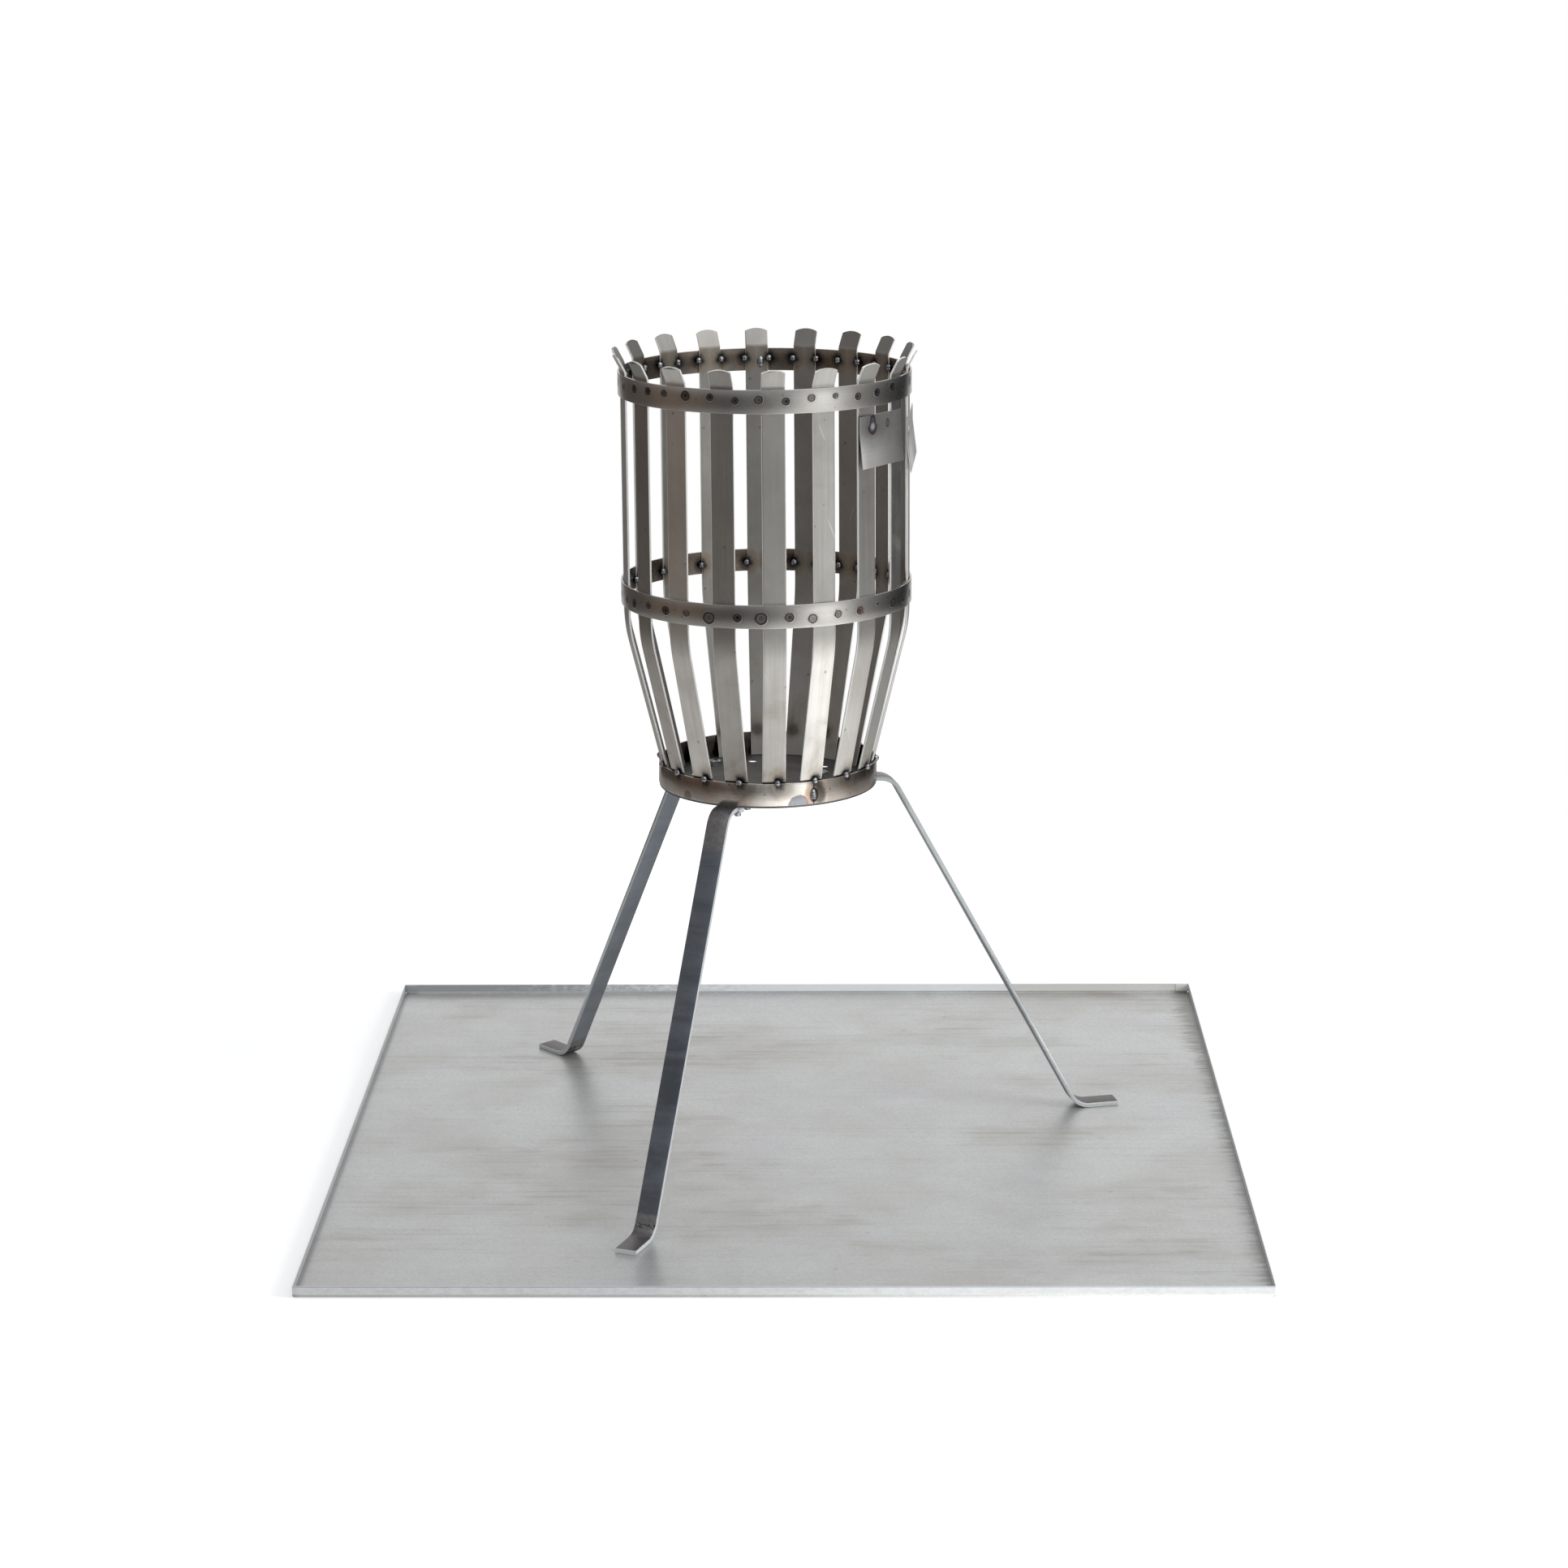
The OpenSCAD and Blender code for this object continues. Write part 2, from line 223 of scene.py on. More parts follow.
def calc(tree, operation, a, b=0.0, clamp=False):
    made = tree.nodes.new("ShaderNodeMath")
    made.operation = operation
    made.use_clamp = clamp
    join(tree, a, made.inputs[0])
    join(tree, b, made.inputs[1])
    return made.outputs[0]


def fade(tree, value, start, end):
    """0 at start and 1 at end, with a soft step between; start may be the larger."""
    made = tree.nodes.new("ShaderNodeMapRange")
    made.interpolation_type = "SMOOTHSTEP"
    join(tree, value, made.inputs["Value"])
    join(tree, start, made.inputs["From Min"])
    join(tree, end, made.inputs["From Max"])
    return made.outputs["Result"]


def between(tree, value, low, high):
    """Stretches a value of 0 to 1 evenly over another span."""
    made = tree.nodes.new("ShaderNodeMapRange")
    join(tree, value, made.inputs["Value"])
    join(tree, low, made.inputs["To Min"])
    join(tree, high, made.inputs["To Max"])
    return made.outputs["Result"]


def mix(tree, share, a, b, kind="MIX"):
    made = tree.nodes.new("ShaderNodeMix")
    made.data_type = "RGBA"
    made.blend_type = kind
    join(tree, share, made.inputs[0])
    join(tree, a, made.inputs[6])
    join(tree, b, made.inputs[7])
    return made.outputs[2]


def stretch(tree, vector, scale, shift=(0, 0, 0)):
    made = tree.nodes.new("ShaderNodeMapping")
    join(tree, vector, made.inputs["Vector"])
    made.inputs["Scale"].default_value = scale
    made.inputs["Location"].default_value = shift
    return made.outputs["Vector"]


def wisps(tree, vector, scale, detail=3.0, rough=0.55, warp=0.0):
    made = tree.nodes.new("ShaderNodeTexNoise")
    join(tree, vector, made.inputs["Vector"])
    join(tree, scale, made.inputs["Scale"])
    made.inputs["Detail"].default_value = detail
    made.inputs["Roughness"].default_value = rough
    made.inputs["Distortion"].default_value = warp
    return made.outputs["Fac"]


def split(tree, vector):
    made = tree.nodes.new("ShaderNodeSeparateXYZ")
    join(tree, vector, made.inputs[0])
    return made.outputs


def gather(tree, x, y=0.0, z=0.0):
    made = tree.nodes.new("ShaderNodeCombineXYZ")
    for value, socket in zip((x, y, z), made.inputs):
        join(tree, value, socket)
    return made.outputs[0]


def span(tree, x, y):
    """The distance from zero of a point (x, y)."""
    return calc(tree, "SQRT", calc(tree, "ADD", calc(tree, "MULTIPLY", x, x), calc(tree, "MULTIPLY", y, y)))


def new_effect(name, inputs, outputs):
    """An empty node group with its sockets; returns the tree, its inputs and its output node."""
    tree = bpy.data.node_groups.new(name, "ShaderNodeTree")
    for label, kind, value in inputs:
        socket = tree.interface.new_socket(label, in_out="INPUT", socket_type=kind)
        socket.default_value = value
    for label in outputs:
        tree.interface.new_socket(label, in_out="OUTPUT", socket_type="NodeSocketFloat")
    return tree, tree.nodes.new("NodeGroupInput").outputs, tree.nodes.new("NodeGroupOutput").inputs


def effect(tree, group, **inputs):
    made = tree.nodes.new("ShaderNodeGroup")
    made.node_tree = group
    for label, value in inputs.items():
        join(tree, value, made.inputs[label])
    return made.outputs


def new_finish(name, roughness=0.4, metallic=1.0):
    """A material with one Principled shader; returns it with its tree, shader and object coordinates."""
    material = bpy.data.materials.new(name)
    material.use_nodes = True
    tree = material.node_tree
    shader = tree.nodes["Principled BSDF"]
    shader.inputs["Metallic"].default_value = metallic
    shader.inputs["Roughness"].default_value = roughness
    return material, tree, shader, tree.nodes.new("ShaderNodeTexCoord").outputs["Object"]


def uv_of(tree, name):
    made = tree.nodes.new("ShaderNodeUVMap")
    made.uv_map = name
    return made.outputs[0]


def number_of(tree, name):
    made = tree.nodes.new("ShaderNodeAttribute")
    made.attribute_name = name
    return made.outputs["Fac"]


def relief(tree, shader, height, distance):
    """Feeds a height pattern to the shader as fine relief; distance is how deep it is, in metres."""
    made = tree.nodes.new("ShaderNodeBump")
    made.inputs["Distance"].default_value = distance
    join(tree, height, made.inputs["Height"])
    join(tree, made.outputs[0], shader.inputs["Normal"])


VECTOR, FLOAT = "NodeSocketVector", "NodeSocketFloat"
print("finish helpers ready")

# %% [markdown]
# ## Effects that several finishes share
#
# - **Rolled grain**: cold-rolled strip carries fine lines along its length.
#   Noise that is stretched a long way along one axis gives them.
# - **Cloudy tone**: no sheet is one even grey. Large soft noise moves the tone.
# - **Specks**: tiny pits and grains, from the cells of a Voronoi pattern.
# - **Heat rings**: what a weld behind a strip leaves on the strip's face: a
#   dark rim, a lighter disc and a darker middle. It reads coordinates that are
#   measured from the mark's centre in mark radii.
# - **Weld halo**: round a bead the steel is burnt black, then brown, then gold.

# %% Rolled grain, cloudy tone and specks
ROLLED, given, wanted = new_effect("rolled_grain", [("Vector", VECTOR, (0, 0, 0)), ("Fineness", FLOAT, 700.0)], ["Lines"])
fine = wisps(ROLLED, stretch(ROLLED, given["Vector"], (1, 0.02, 1)), given["Fineness"], 4.0, 0.6)
broad = wisps(ROLLED, stretch(ROLLED, given["Vector"], (0.25, 0.004, 0.25)), given["Fineness"], 2.0, 0.5)
both = calc(ROLLED, "ADD", calc(ROLLED, "MULTIPLY", fine, 0.6), calc(ROLLED, "MULTIPLY", broad, 0.4))
join(ROLLED, fade(ROLLED, both, 0.3, 0.7), wanted["Lines"])

CLOUDY, given, wanted = new_effect("cloudy_tone", [("Vector", VECTOR, (0, 0, 0)), ("Scale", FLOAT, 9.0)], ["Tone", "Patches"])
soft = wisps(CLOUDY, given["Vector"], given["Scale"], 4.0, 0.6, 0.3)
join(CLOUDY, fade(CLOUDY, soft, 0.28, 0.72), wanted["Tone"])
shifted = stretch(CLOUDY, given["Vector"], (1.7, 1.7, 1.7), (3.1, 1.7, 5.3))
join(CLOUDY, fade(CLOUDY, wisps(CLOUDY, shifted, given["Scale"], 5.0, 0.62, 0.6), 0.52, 0.72), wanted["Patches"])

SPECKS, given, wanted = new_effect("specks", [("Vector", VECTOR, (0, 0, 0)), ("Scale", FLOAT, 120.0),
                                              ("Size", FLOAT, 0.22), ("Share", FLOAT, 0.25)], ["Mask"])
cells = SPECKS.nodes.new("ShaderNodeTexVoronoi")
join(SPECKS, given["Vector"], cells.inputs["Vector"])
join(SPECKS, given["Scale"], cells.inputs["Scale"])
chance = split(SPECKS, cells.outputs["Color"])[0]
kept = calc(SPECKS, "LESS_THAN", chance, given["Share"])
dot = fade(SPECKS, cells.outputs["Distance"], given["Size"], calc(SPECKS, "MULTIPLY", given["Size"], 0.35))
join(SPECKS, calc(SPECKS, "MULTIPLY", kept, dot), wanted["Mask"])
print("grain, cloud and speck effects made")

# %% Heat rings and weld halo
RINGS, given, wanted = new_effect("heat_rings", [("Vector", VECTOR, (9, 9, 0)), ("Shade", FLOAT, 0.5)],
                                  ["Rim", "Disc", "Heart", "Glow", "Raise"])
ripple = calc(RINGS, "SUBTRACT", wisps(RINGS, given["Vector"], 1.4, 2.0), 0.5)
x, y, _ = split(RINGS, given["Vector"])
far = calc(RINGS, "ADD", span(RINGS, x, y), calc(RINGS, "MULTIPLY", ripple, 0.28))
inner = fade(RINGS, far, 0.62, 0.86)
join(RINGS, calc(RINGS, "MULTIPLY", inner, fade(RINGS, far, 1.12, 0.94)), wanted["Rim"])
join(RINGS, fade(RINGS, far, 1.0, 0.85), wanted["Disc"])
join(RINGS, calc(RINGS, "MULTIPLY", fade(RINGS, far, 0.62, 0.25), given["Shade"]), wanted["Heart"])
join(RINGS, fade(RINGS, far, 1.9, 1.0), wanted["Glow"])
join(RINGS, calc(RINGS, "MULTIPLY", fade(RINGS, far, 0.55, 0.85), fade(RINGS, far, 1.15, 0.95)), wanted["Raise"])

HALO, given, wanted = new_effect("weld_halo", [("Vector", VECTOR, (0.1, 0.1, 0)), ("Reach", FLOAT, 0.007),
                                               ("Right", FLOAT, 0.0), ("Up", FLOAT, 0.0)],
                                 ["Black", "Brown", "Gold"])
patchy = calc(HALO, "SUBTRACT", wisps(HALO, given["Vector"], 130.0, 3.0, 0.6), 0.5)
x, y, _ = split(HALO, given["Vector"])
near = span(HALO, x, y)
pull = calc(HALO, "ADD", calc(HALO, "MULTIPLY", x, given["Right"]), calc(HALO, "MULTIPLY", y, given["Up"]))
off = calc(HALO, "DIVIDE", calc(HALO, "SUBTRACT", near, pull), given["Reach"])
off = calc(HALO, "ADD", off, calc(HALO, "MULTIPLY", patchy, 1.5))
join(HALO, fade(HALO, off, 1.15, 0.55), wanted["Black"])
join(HALO, fade(HALO, off, 2.0, 0.9), wanted["Brown"])
join(HALO, calc(HALO, "MULTIPLY", fade(HALO, off, 1.3, 1.8), fade(HALO, off, 2.9, 1.9)), wanted["Gold"])
print("heat effects made")

# %% [markdown]
# ## Bare steel strip, for the staves
#
# Cold-rolled strip is satin grey with fine lines along it. It is a metal, so
# most of its look is what it mirrors, and roughness matters more than colour.
# The map called `strip` holds the distance across the stave and the height, in
# metres, and the stave's number is added to the first, so each stave gets its
# own grain. The halo of the foot weld is placed with it, and inside the basket
# the halos of the two beads at each upper hoop.

# %% Bare steel
BARE, tree, shader, spot = new_finish("rolled_stave_steel", 0.4)
strip_map = uv_of(tree, "strip")
u, height, _ = split(tree, strip_map)
number = calc(tree, "ROUND", u)
across = calc(tree, "SUBTRACT", u, number)
lines = effect(tree, ROLLED, Vector=strip_map, Fineness=620.0)["Lines"]
clouds = effect(tree, CLOUDY, Vector=spot, Scale=11.0)
grain_spots = effect(tree, SPECKS, Vector=spot, Scale=95.0, Size=0.2, Share=0.13)["Mask"]
edge = number_of(tree, "edge")
inside = number_of(tree, "inside")
own = tree.nodes.new("ShaderNodeTexWhiteNoise")
own.noise_dimensions = "1D"
join(tree, number, own.inputs["W"])
colour = mix(tree, clouds["Tone"], tone(162, 160, 157), tone(178, 177, 174))
# Painted light: each stave's colour is scaled by its own number for how light falls on it, and below the knee by a
# second number for the bright floor it mirrors.
below_knee = fade(tree, height, 0.606, 0.575)
depth = number_of(tree, "depth")
lower = calc(tree, "SUBTRACT", number_of(tree, "low"), depth)
depth = calc(tree, "ADD", depth, calc(tree, "MULTIPLY", lower, below_knee))
colour = mix(tree, 1.0, colour, gather(tree, depth, depth, depth), "MULTIPLY")
colour = mix(tree, calc(tree, "MULTIPLY", lines, 0.09), colour, tone(112, 110, 108))
slanted = gather(tree, calc(tree, "ADD", u, calc(tree, "MULTIPLY", height, 0.4)), calc(tree, "MULTIPLY", height, 0.05))
scratches = fade(tree, wisps(tree, slanted, 300.0, 1.0), 0.735, 0.765)
colour = mix(tree, calc(tree, "MULTIPLY", scratches, 0.4), colour, tone(206, 206, 204))
colour = mix(tree, calc(tree, "MULTIPLY", own.outputs["Value"], 0.16), colour, tone(136, 126, 116))
low_down = fade(tree, height, 0.60, 0.43)
stain = calc(tree, "MULTIPLY", clouds["Patches"], between(tree, low_down, 0.12, 0.42))
colour = mix(tree, stain, colour, tone(138, 120, 98))
colour = mix(tree, calc(tree, "MULTIPLY", grain_spots, 0.5), colour, tone(84, 78, 72))
colour = mix(tree, calc(tree, "MULTIPLY", edge, 0.85), colour, tone(236, 235, 232))
foot = gather(tree, calc(tree, "SUBTRACT", across, 0.0037), calc(tree, "SUBTRACT", height, 0.4362))
halo = effect(tree, HALO, Vector=foot, Reach=0.0048, Right=0.22, Up=0.30)
colour = mix(tree, calc(tree, "MULTIPLY", halo["Gold"], 0.28), colour, tone(150, 128, 98))
colour = mix(tree, calc(tree, "MULTIPLY", halo["Brown"], 0.62), colour, tone(78, 68, 62))
colour = mix(tree, calc(tree, "MULTIPLY", halo["Black"], between(tree, inside, 0.95, 0.2)), colour, tone(24, 22, 22))
# Painted shade: a dark line on the outside of each stave where it meets the top edge of the bottom hoop.
shade_at_hoop = calc(tree, "MULTIPLY", fade(tree, height, 0.4376, 0.4362), calc(tree, "SUBTRACT", 1.0, inside))
colour = mix(tree, calc(tree, "MULTIPLY", shade_at_hoop, 0.9), colour, tone(30, 27, 26))
tip_inside = calc(tree, "MULTIPLY", fade(tree, height, 0.866, 0.872), inside)
colour = mix(tree, calc(tree, "MULTIPLY", tip_inside, 0.3), colour, tone(60, 59, 58))
beside = calc(tree, "SUBTRACT", calc(tree, "ABSOLUTE", across), 0.0135)
for bead_height in (0.8546, 0.6236):
    bead = gather(tree, beside, calc(tree, "SUBTRACT", height, bead_height))
    halo = effect(tree, HALO, Vector=bead, Reach=0.0062)
    for ring, share, burnt in (("Gold", 0.4, tone(150, 122, 84)), ("Brown", 0.7, tone(70, 54, 44)),
                               ("Black", 0.9, tone(24, 21, 20))):
        shown = calc(tree, "MULTIPLY", calc(tree, "MULTIPLY", halo[ring], share), inside)
        colour = mix(tree, shown, colour, burnt)
join(tree, colour, shader.inputs["Base Color"])
dull = between(tree, lines, 0.38, 0.48)
dull = calc(tree, "ADD", dull, calc(tree, "MULTIPLY", clouds["Patches"], 0.08))
dull = calc(tree, "ADD", dull, calc(tree, "MULTIPLY", edge, 0.25))
join(tree, dull, shader.inputs["Roughness"])
join(tree, between(tree, edge, 1.0, 0.3), shader.inputs["Metallic"])
relief(tree, shader, calc(tree, "ADD", lines, calc(tree, "MULTIPLY", grain_spots, -2.0)), 0.00002)
print(BARE.name, "has", len(tree.nodes), "nodes")

# %% [markdown]
# ## Steel for the two upper hoops
#
# The same strip, a little browner and duller, with the heat marks of the beads
# inside it. Every face carries coordinates measured from its nearest mark, in
# mark radii, in the map called `mark`, and a number for how dark that mark is.
# One group then draws every mark, large or small.

# %% Hoop steel
HOOP, tree, shader, spot = new_finish("rolled_hoop_steel", 0.38)
strip_map = uv_of(tree, "strip")
lines = effect(tree, ROLLED, Vector=gather(tree, split(tree, strip_map)[1], split(tree, strip_map)[0]),
               Fineness=560.0)["Lines"]
clouds = effect(tree, CLOUDY, Vector=spot, Scale=13.0)
pits = effect(tree, SPECKS, Vector=spot, Scale=110.0, Size=0.22, Share=0.16)["Mask"]
edge = number_of(tree, "edge")
inside = number_of(tree, "inside")
shade = number_of(tree, "shade")
warmth = number_of(tree, "warmth")
rings = effect(tree, RINGS, Vector=uv_of(tree, "mark"), Shade=shade)
colour = mix(tree, clouds["Tone"], tone(160, 158, 155), tone(178, 177, 174))
colour = mix(tree, calc(tree, "MULTIPLY", lines, 0.08), colour, tone(112, 110, 108))
colour = mix(tree, calc(tree, "MULTIPLY", clouds["Patches"], 0.18), colour, tone(120, 108, 100))
colour = mix(tree, calc(tree, "MULTIPLY", pits, 0.4), colour, tone(70, 62, 58))
outer = calc(tree, "SUBTRACT", 1.0, inside)
disc_dark = between(tree, shade, 0.35, 0.85)
for ring, share, burnt in ((rings["Glow"], 0.2, tone(120, 112, 108)),
                           (rings["Disc"], disc_dark, tone(68, 70, 74)),
                           (rings["Rim"], 0.85, tone(42, 40, 41)),
                           (rings["Heart"], 0.85, tone(26, 26, 28))):
    colour = mix(tree, calc(tree, "MULTIPLY", calc(tree, "MULTIPLY", ring, share), outer), colour, burnt)
pink = calc(tree, "MULTIPLY", calc(tree, "MULTIPLY", rings["Glow"], warmth), 0.34)
colour = mix(tree, calc(tree, "MULTIPLY", pink, outer), colour, tone(158, 112, 98))
colour = mix(tree, calc(tree, "MULTIPLY", inside, 0.62), colour, tone(62, 55, 50))
halo = effect(tree, HALO, Vector=uv_of(tree, "bead"), Reach=0.0062)
for ring, share, burnt in (("Gold", 0.35, tone(140, 112, 78)), ("Brown", 0.75, tone(60, 44, 36)),
                           ("Black", 0.95, tone(18, 16, 16))):
    shown = calc(tree, "MULTIPLY", calc(tree, "MULTIPLY", halo[ring], share), inside)
    colour = mix(tree, shown, colour, burnt)
colour = mix(tree, calc(tree, "MULTIPLY", edge, 0.55), colour, tone(210, 207, 203))
join(tree, colour, shader.inputs["Base Color"])
dull = between(tree, lines, 0.26, 0.29)
dull = calc(tree, "ADD", dull, calc(tree, "MULTIPLY", calc(tree, "MULTIPLY", rings["Disc"], outer), 0.1))
join(tree, dull, shader.inputs["Roughness"])
raised = calc(tree, "MULTIPLY", calc(tree, "MULTIPLY", rings["Raise"], outer), 6.0)
relief(tree, shader, calc(tree, "ADD", calc(tree, "MULTIPLY", lines, 0.06), raised), 0.00003)
print(HOOP.name, "has", len(tree.nodes), "nodes")

# %% [markdown]
# ## Heat tinted steel, for the bottom hoop
#
# Eighteen welds sit on this narrow hoop, so heat has clouded all of it with
# brown and straw colours. Its front, up to the joint, is made pale as a painted
# highlight, and the darker stretches further round hold painted shade as well as
# tint. The map `bead` is measured from the nearest weld.
# Three more marks have their own places on the map `strip`: the burnt band
# beside the butt joint, the half-round tint left by a tack under the lower
# edge, and a darker one further left.

# %% Heat tinted steel
RIM = 2 * math.pi * BASE_R * MM


def along_hoop(turn):
    """Where a turn from the front lies on the bottom hoop's strip map, in metres."""
    return ((turn - 25.5) % 360) / 360 * RIM


TINTED, tree, shader, spot = new_finish("welded_hoop_steel", 0.36)
strip_map = uv_of(tree, "strip")
along, height, _ = split(tree, strip_map)
lines = effect(tree, ROLLED, Vector=gather(tree, height, along), Fineness=520.0)["Lines"]
clouds = effect(tree, CLOUDY, Vector=spot, Scale=26.0)
wide_clouds = effect(tree, CLOUDY, Vector=stretch(tree, spot, (1, 1, 1), (0.4, 0.2, 0.7)), Scale=12.0)
pits = effect(tree, SPECKS, Vector=spot, Scale=130.0, Size=0.24, Share=0.22)["Mask"]
edge = number_of(tree, "edge")
inside = number_of(tree, "inside")
colour = mix(tree, clouds["Tone"], tone(158, 150, 143), tone(190, 184, 176))
# Darker to the right of the joint and round the left and back: partly heat tint, partly painted shade away from the
# highlight.
turn_right = fade(tree, along, 0.006, 0.02)
turn_left = calc(tree, "MULTIPLY", fade(tree, along, RIM - 0.085, RIM - 0.125), fade(tree, along, 0.35, 0.5))
tint_and_shade = calc(tree, "MAXIMUM", calc(tree, "MULTIPLY", turn_right, fade(tree, along, 0.16, 0.12)), turn_left)
colour = mix(tree, calc(tree, "MULTIPLY", tint_and_shade, 0.54), colour, tone(100, 92, 87))
# Painted highlight: the front of the hoop, up to the joint, is made pale, and fewer patches cover it.
front_painted_highlight = calc(tree, "MULTIPLY", fade(tree, along, RIM - 0.082, RIM - 0.05), fade(tree, along, RIM - 0.004, RIM - 0.012))
colour = mix(tree, calc(tree, "MULTIPLY", front_painted_highlight, 0.85), colour, tone(228, 225, 218))
patches_off_highlight = calc(tree, "SUBTRACT", 0.65, calc(tree, "MULTIPLY", front_painted_highlight, 0.4))
colour = mix(tree, calc(tree, "MULTIPLY", wide_clouds["Patches"], patches_off_highlight), colour, tone(116, 102, 94))
colour = mix(tree, calc(tree, "MULTIPLY", clouds["Patches"], 0.4), colour, tone(136, 122, 112))
colour = mix(tree, calc(tree, "MULTIPLY", lines, 0.14), colour, tone(116, 108, 100))
colour = mix(tree, calc(tree, "MULTIPLY", pits, 0.6), colour, tone(70, 56, 48))
bead_map = uv_of(tree, "bead")
halo = effect(tree, HALO, Vector=bead_map, Reach=0.0046, Right=0.30, Up=-0.42)
for ring, share, burnt in (("Gold", 0.26, tone(132, 112, 94)), ("Brown", 0.6, tone(80, 69, 63)),
                           ("Black", 0.85, tone(34, 30, 30))):
    colour = mix(tree, calc(tree, "MULTIPLY", halo[ring], share), colour, burnt)
wobble = calc(tree, "MULTIPLY", calc(tree, "SUBTRACT", wisps(tree, spot, 180.0, 3.0), 0.5), 0.0035)
patch = span(tree, calc(tree, "SUBTRACT", along, along_hoop(17.2)), calc(tree, "SUBTRACT", height, 0.4105))
patch = calc(tree, "ADD", patch, wobble)
colour = mix(tree, calc(tree, "MULTIPLY", fade(tree, patch, 0.0122, 0.0102), 0.75), colour, tone(96, 68, 56))
colour = mix(tree, fade(tree, patch, 0.0104, 0.0094), colour, tone(126, 129, 136))
left_patch = calc(tree, "ADD", wobble, span(
    tree, calc(tree, "SUBTRACT", along, along_hoop(-45.2)), calc(tree, "SUBTRACT", height, 0.413)))
colour = mix(tree, calc(tree, "MULTIPLY", fade(tree, left_patch, 0.0072, 0.0045), 0.6), colour, tone(70, 58, 54))
beside_joint = calc(tree, "ADD", wobble, span(tree, calc(tree, "MULTIPLY", calc(tree, "SUBTRACT", along, 0.0075), 1.0),
                                              calc(tree, "MULTIPLY", calc(tree, "SUBTRACT", height, 0.4205), 0.55)))
colour = mix(tree, calc(tree, "MULTIPLY", fade(tree, beside_joint, 0.0095, 0.004), 0.85), colour, tone(62, 54, 52))
from_joint = calc(tree, "SUBTRACT", calc(tree, "ABSOLUTE", calc(tree, "SUBTRACT", along, RIM / 2)), RIM / 2)
round_bead = span(tree, calc(tree, "DIVIDE", from_joint, 0.0043), calc(tree, "DIVIDE", calc(tree, "SUBTRACT", height, 0.4202), 0.0069))
colour = mix(tree, calc(tree, "MULTIPLY", fade(tree, round_bead, 1.3, 1.05), 0.9), colour, tone(28, 25, 25))
before_joint = calc(tree, "ADD", wobble, span(tree, calc(tree, "SUBTRACT", along, RIM - 0.0065),
                                              calc(tree, "MULTIPLY", calc(tree, "SUBTRACT", height, 0.421), 0.4)))
colour = mix(tree, calc(tree, "MULTIPLY", fade(tree, before_joint, 0.0055, 0.002), 0.55), colour, tone(150, 112, 88))
colour = mix(tree, calc(tree, "MULTIPLY", inside, 0.6), colour, tone(54, 46, 42))
colour = mix(tree, calc(tree, "MULTIPLY", edge, 0.6), colour, tone(222, 216, 206))
join(tree, colour, shader.inputs["Base Color"])
dull = calc(tree, "ADD", between(tree, lines, 0.2, 0.3), calc(tree, "MULTIPLY", halo["Brown"], 0.18))
join(tree, dull, shader.inputs["Roughness"])
relief(tree, shader, calc(tree, "SUBTRACT", lines, calc(tree, "MULTIPLY", pits, 2.0)), 0.00002)
print(TINTED.name, "has", len(tree.nodes), "nodes")

# %% [markdown]
# ## Mill scale, for the legs
#
# Hot-rolled flat bar keeps a dark blue-grey skin of oxide, which shines softly.
# It is cloudy in bands across the bar. Where the bar was heated and bent, at
# the shoulder and the foot, the skin has broken up and is browner and duller.
# The sawn and rolled sides have none of it and are bright. Painted light is
# added to them: they grow lighter near the foot, the front leg's sides are
# made brightest, and the whole left leg is painted paler.

# %% Mill scale
SCALE, tree, shader, spot = new_finish("mill_scaled_bar", 0.36)
strip_map = uv_of(tree, "strip")
x, y, _ = split(tree, strip_map)
_, _, z = split(tree, spot)
edge = number_of(tree, "edge")
bands = wisps(tree, stretch(tree, strip_map, (0.35, 1, 1)), 26.0, 5.0, 0.62, 0.4)
mottle = wisps(tree, spot, 210.0, 4.0, 0.65)
flakes = effect(tree, SPECKS, Vector=spot, Scale=230.0, Size=0.34, Share=0.3)["Mask"]
bent = calc(tree, "ADD", fade(tree, z, 0.366, 0.376), fade(tree, z, 0.0257, 0.0230), True)
colour = mix(tree, fade(tree, bands, 0.34, 0.68), tone(93, 99, 107), tone(117, 123, 132))
colour = mix(tree, calc(tree, "MULTIPLY", fade(tree, mottle, 0.45, 0.7), 0.16), colour, tone(84, 86, 93))
# Painted light: the left leg is made paler all over, for the light that falls on it.
colour = mix(tree, calc(tree, "MULTIPLY", number_of(tree, "painted_lighter_leg"), 0.27), colour, tone(190, 197, 208))
worn = mix(tree, fade(tree, mottle, 0.3, 0.72), tone(120, 120, 122), tone(140, 139, 140))
worn = mix(tree, calc(tree, "MULTIPLY", fade(tree, z, 0.0105, 0.0075), 0.7), worn, tone(100, 96, 94))
worn = mix(tree, calc(tree, "MULTIPLY", flakes, 0.3), worn, tone(62, 58, 58))
colour = mix(tree, bent, colour, worn)
rust = effect(tree, CLOUDY, Vector=spot, Scale=34.0)["Patches"]
colour = mix(tree, calc(tree, "MULTIPLY", calc(tree, "MULTIPLY", rust, bent), 0.12), colour, tone(92, 78, 70))
pressed = calc(tree, "ABSOLUTE", calc(tree, "SUBTRACT", z, 0.0137))
pressed = calc(tree, "MULTIPLY", fade(tree, pressed, 0.003, 0.001), fade(tree, wisps(tree, spot, 420.0, 1.0), 0.46, 0.56))
colour = mix(tree, calc(tree, "MULTIPLY", pressed, 0.8), colour, tone(34, 32, 33))
bright = mix(tree, fade(tree, edge, 0.85, 1.0), tone(128, 133, 133), tone(170, 174, 177))
bright = mix(tree, fade(tree, edge, 1.1, 1.5), bright, tone(204, 207, 210))
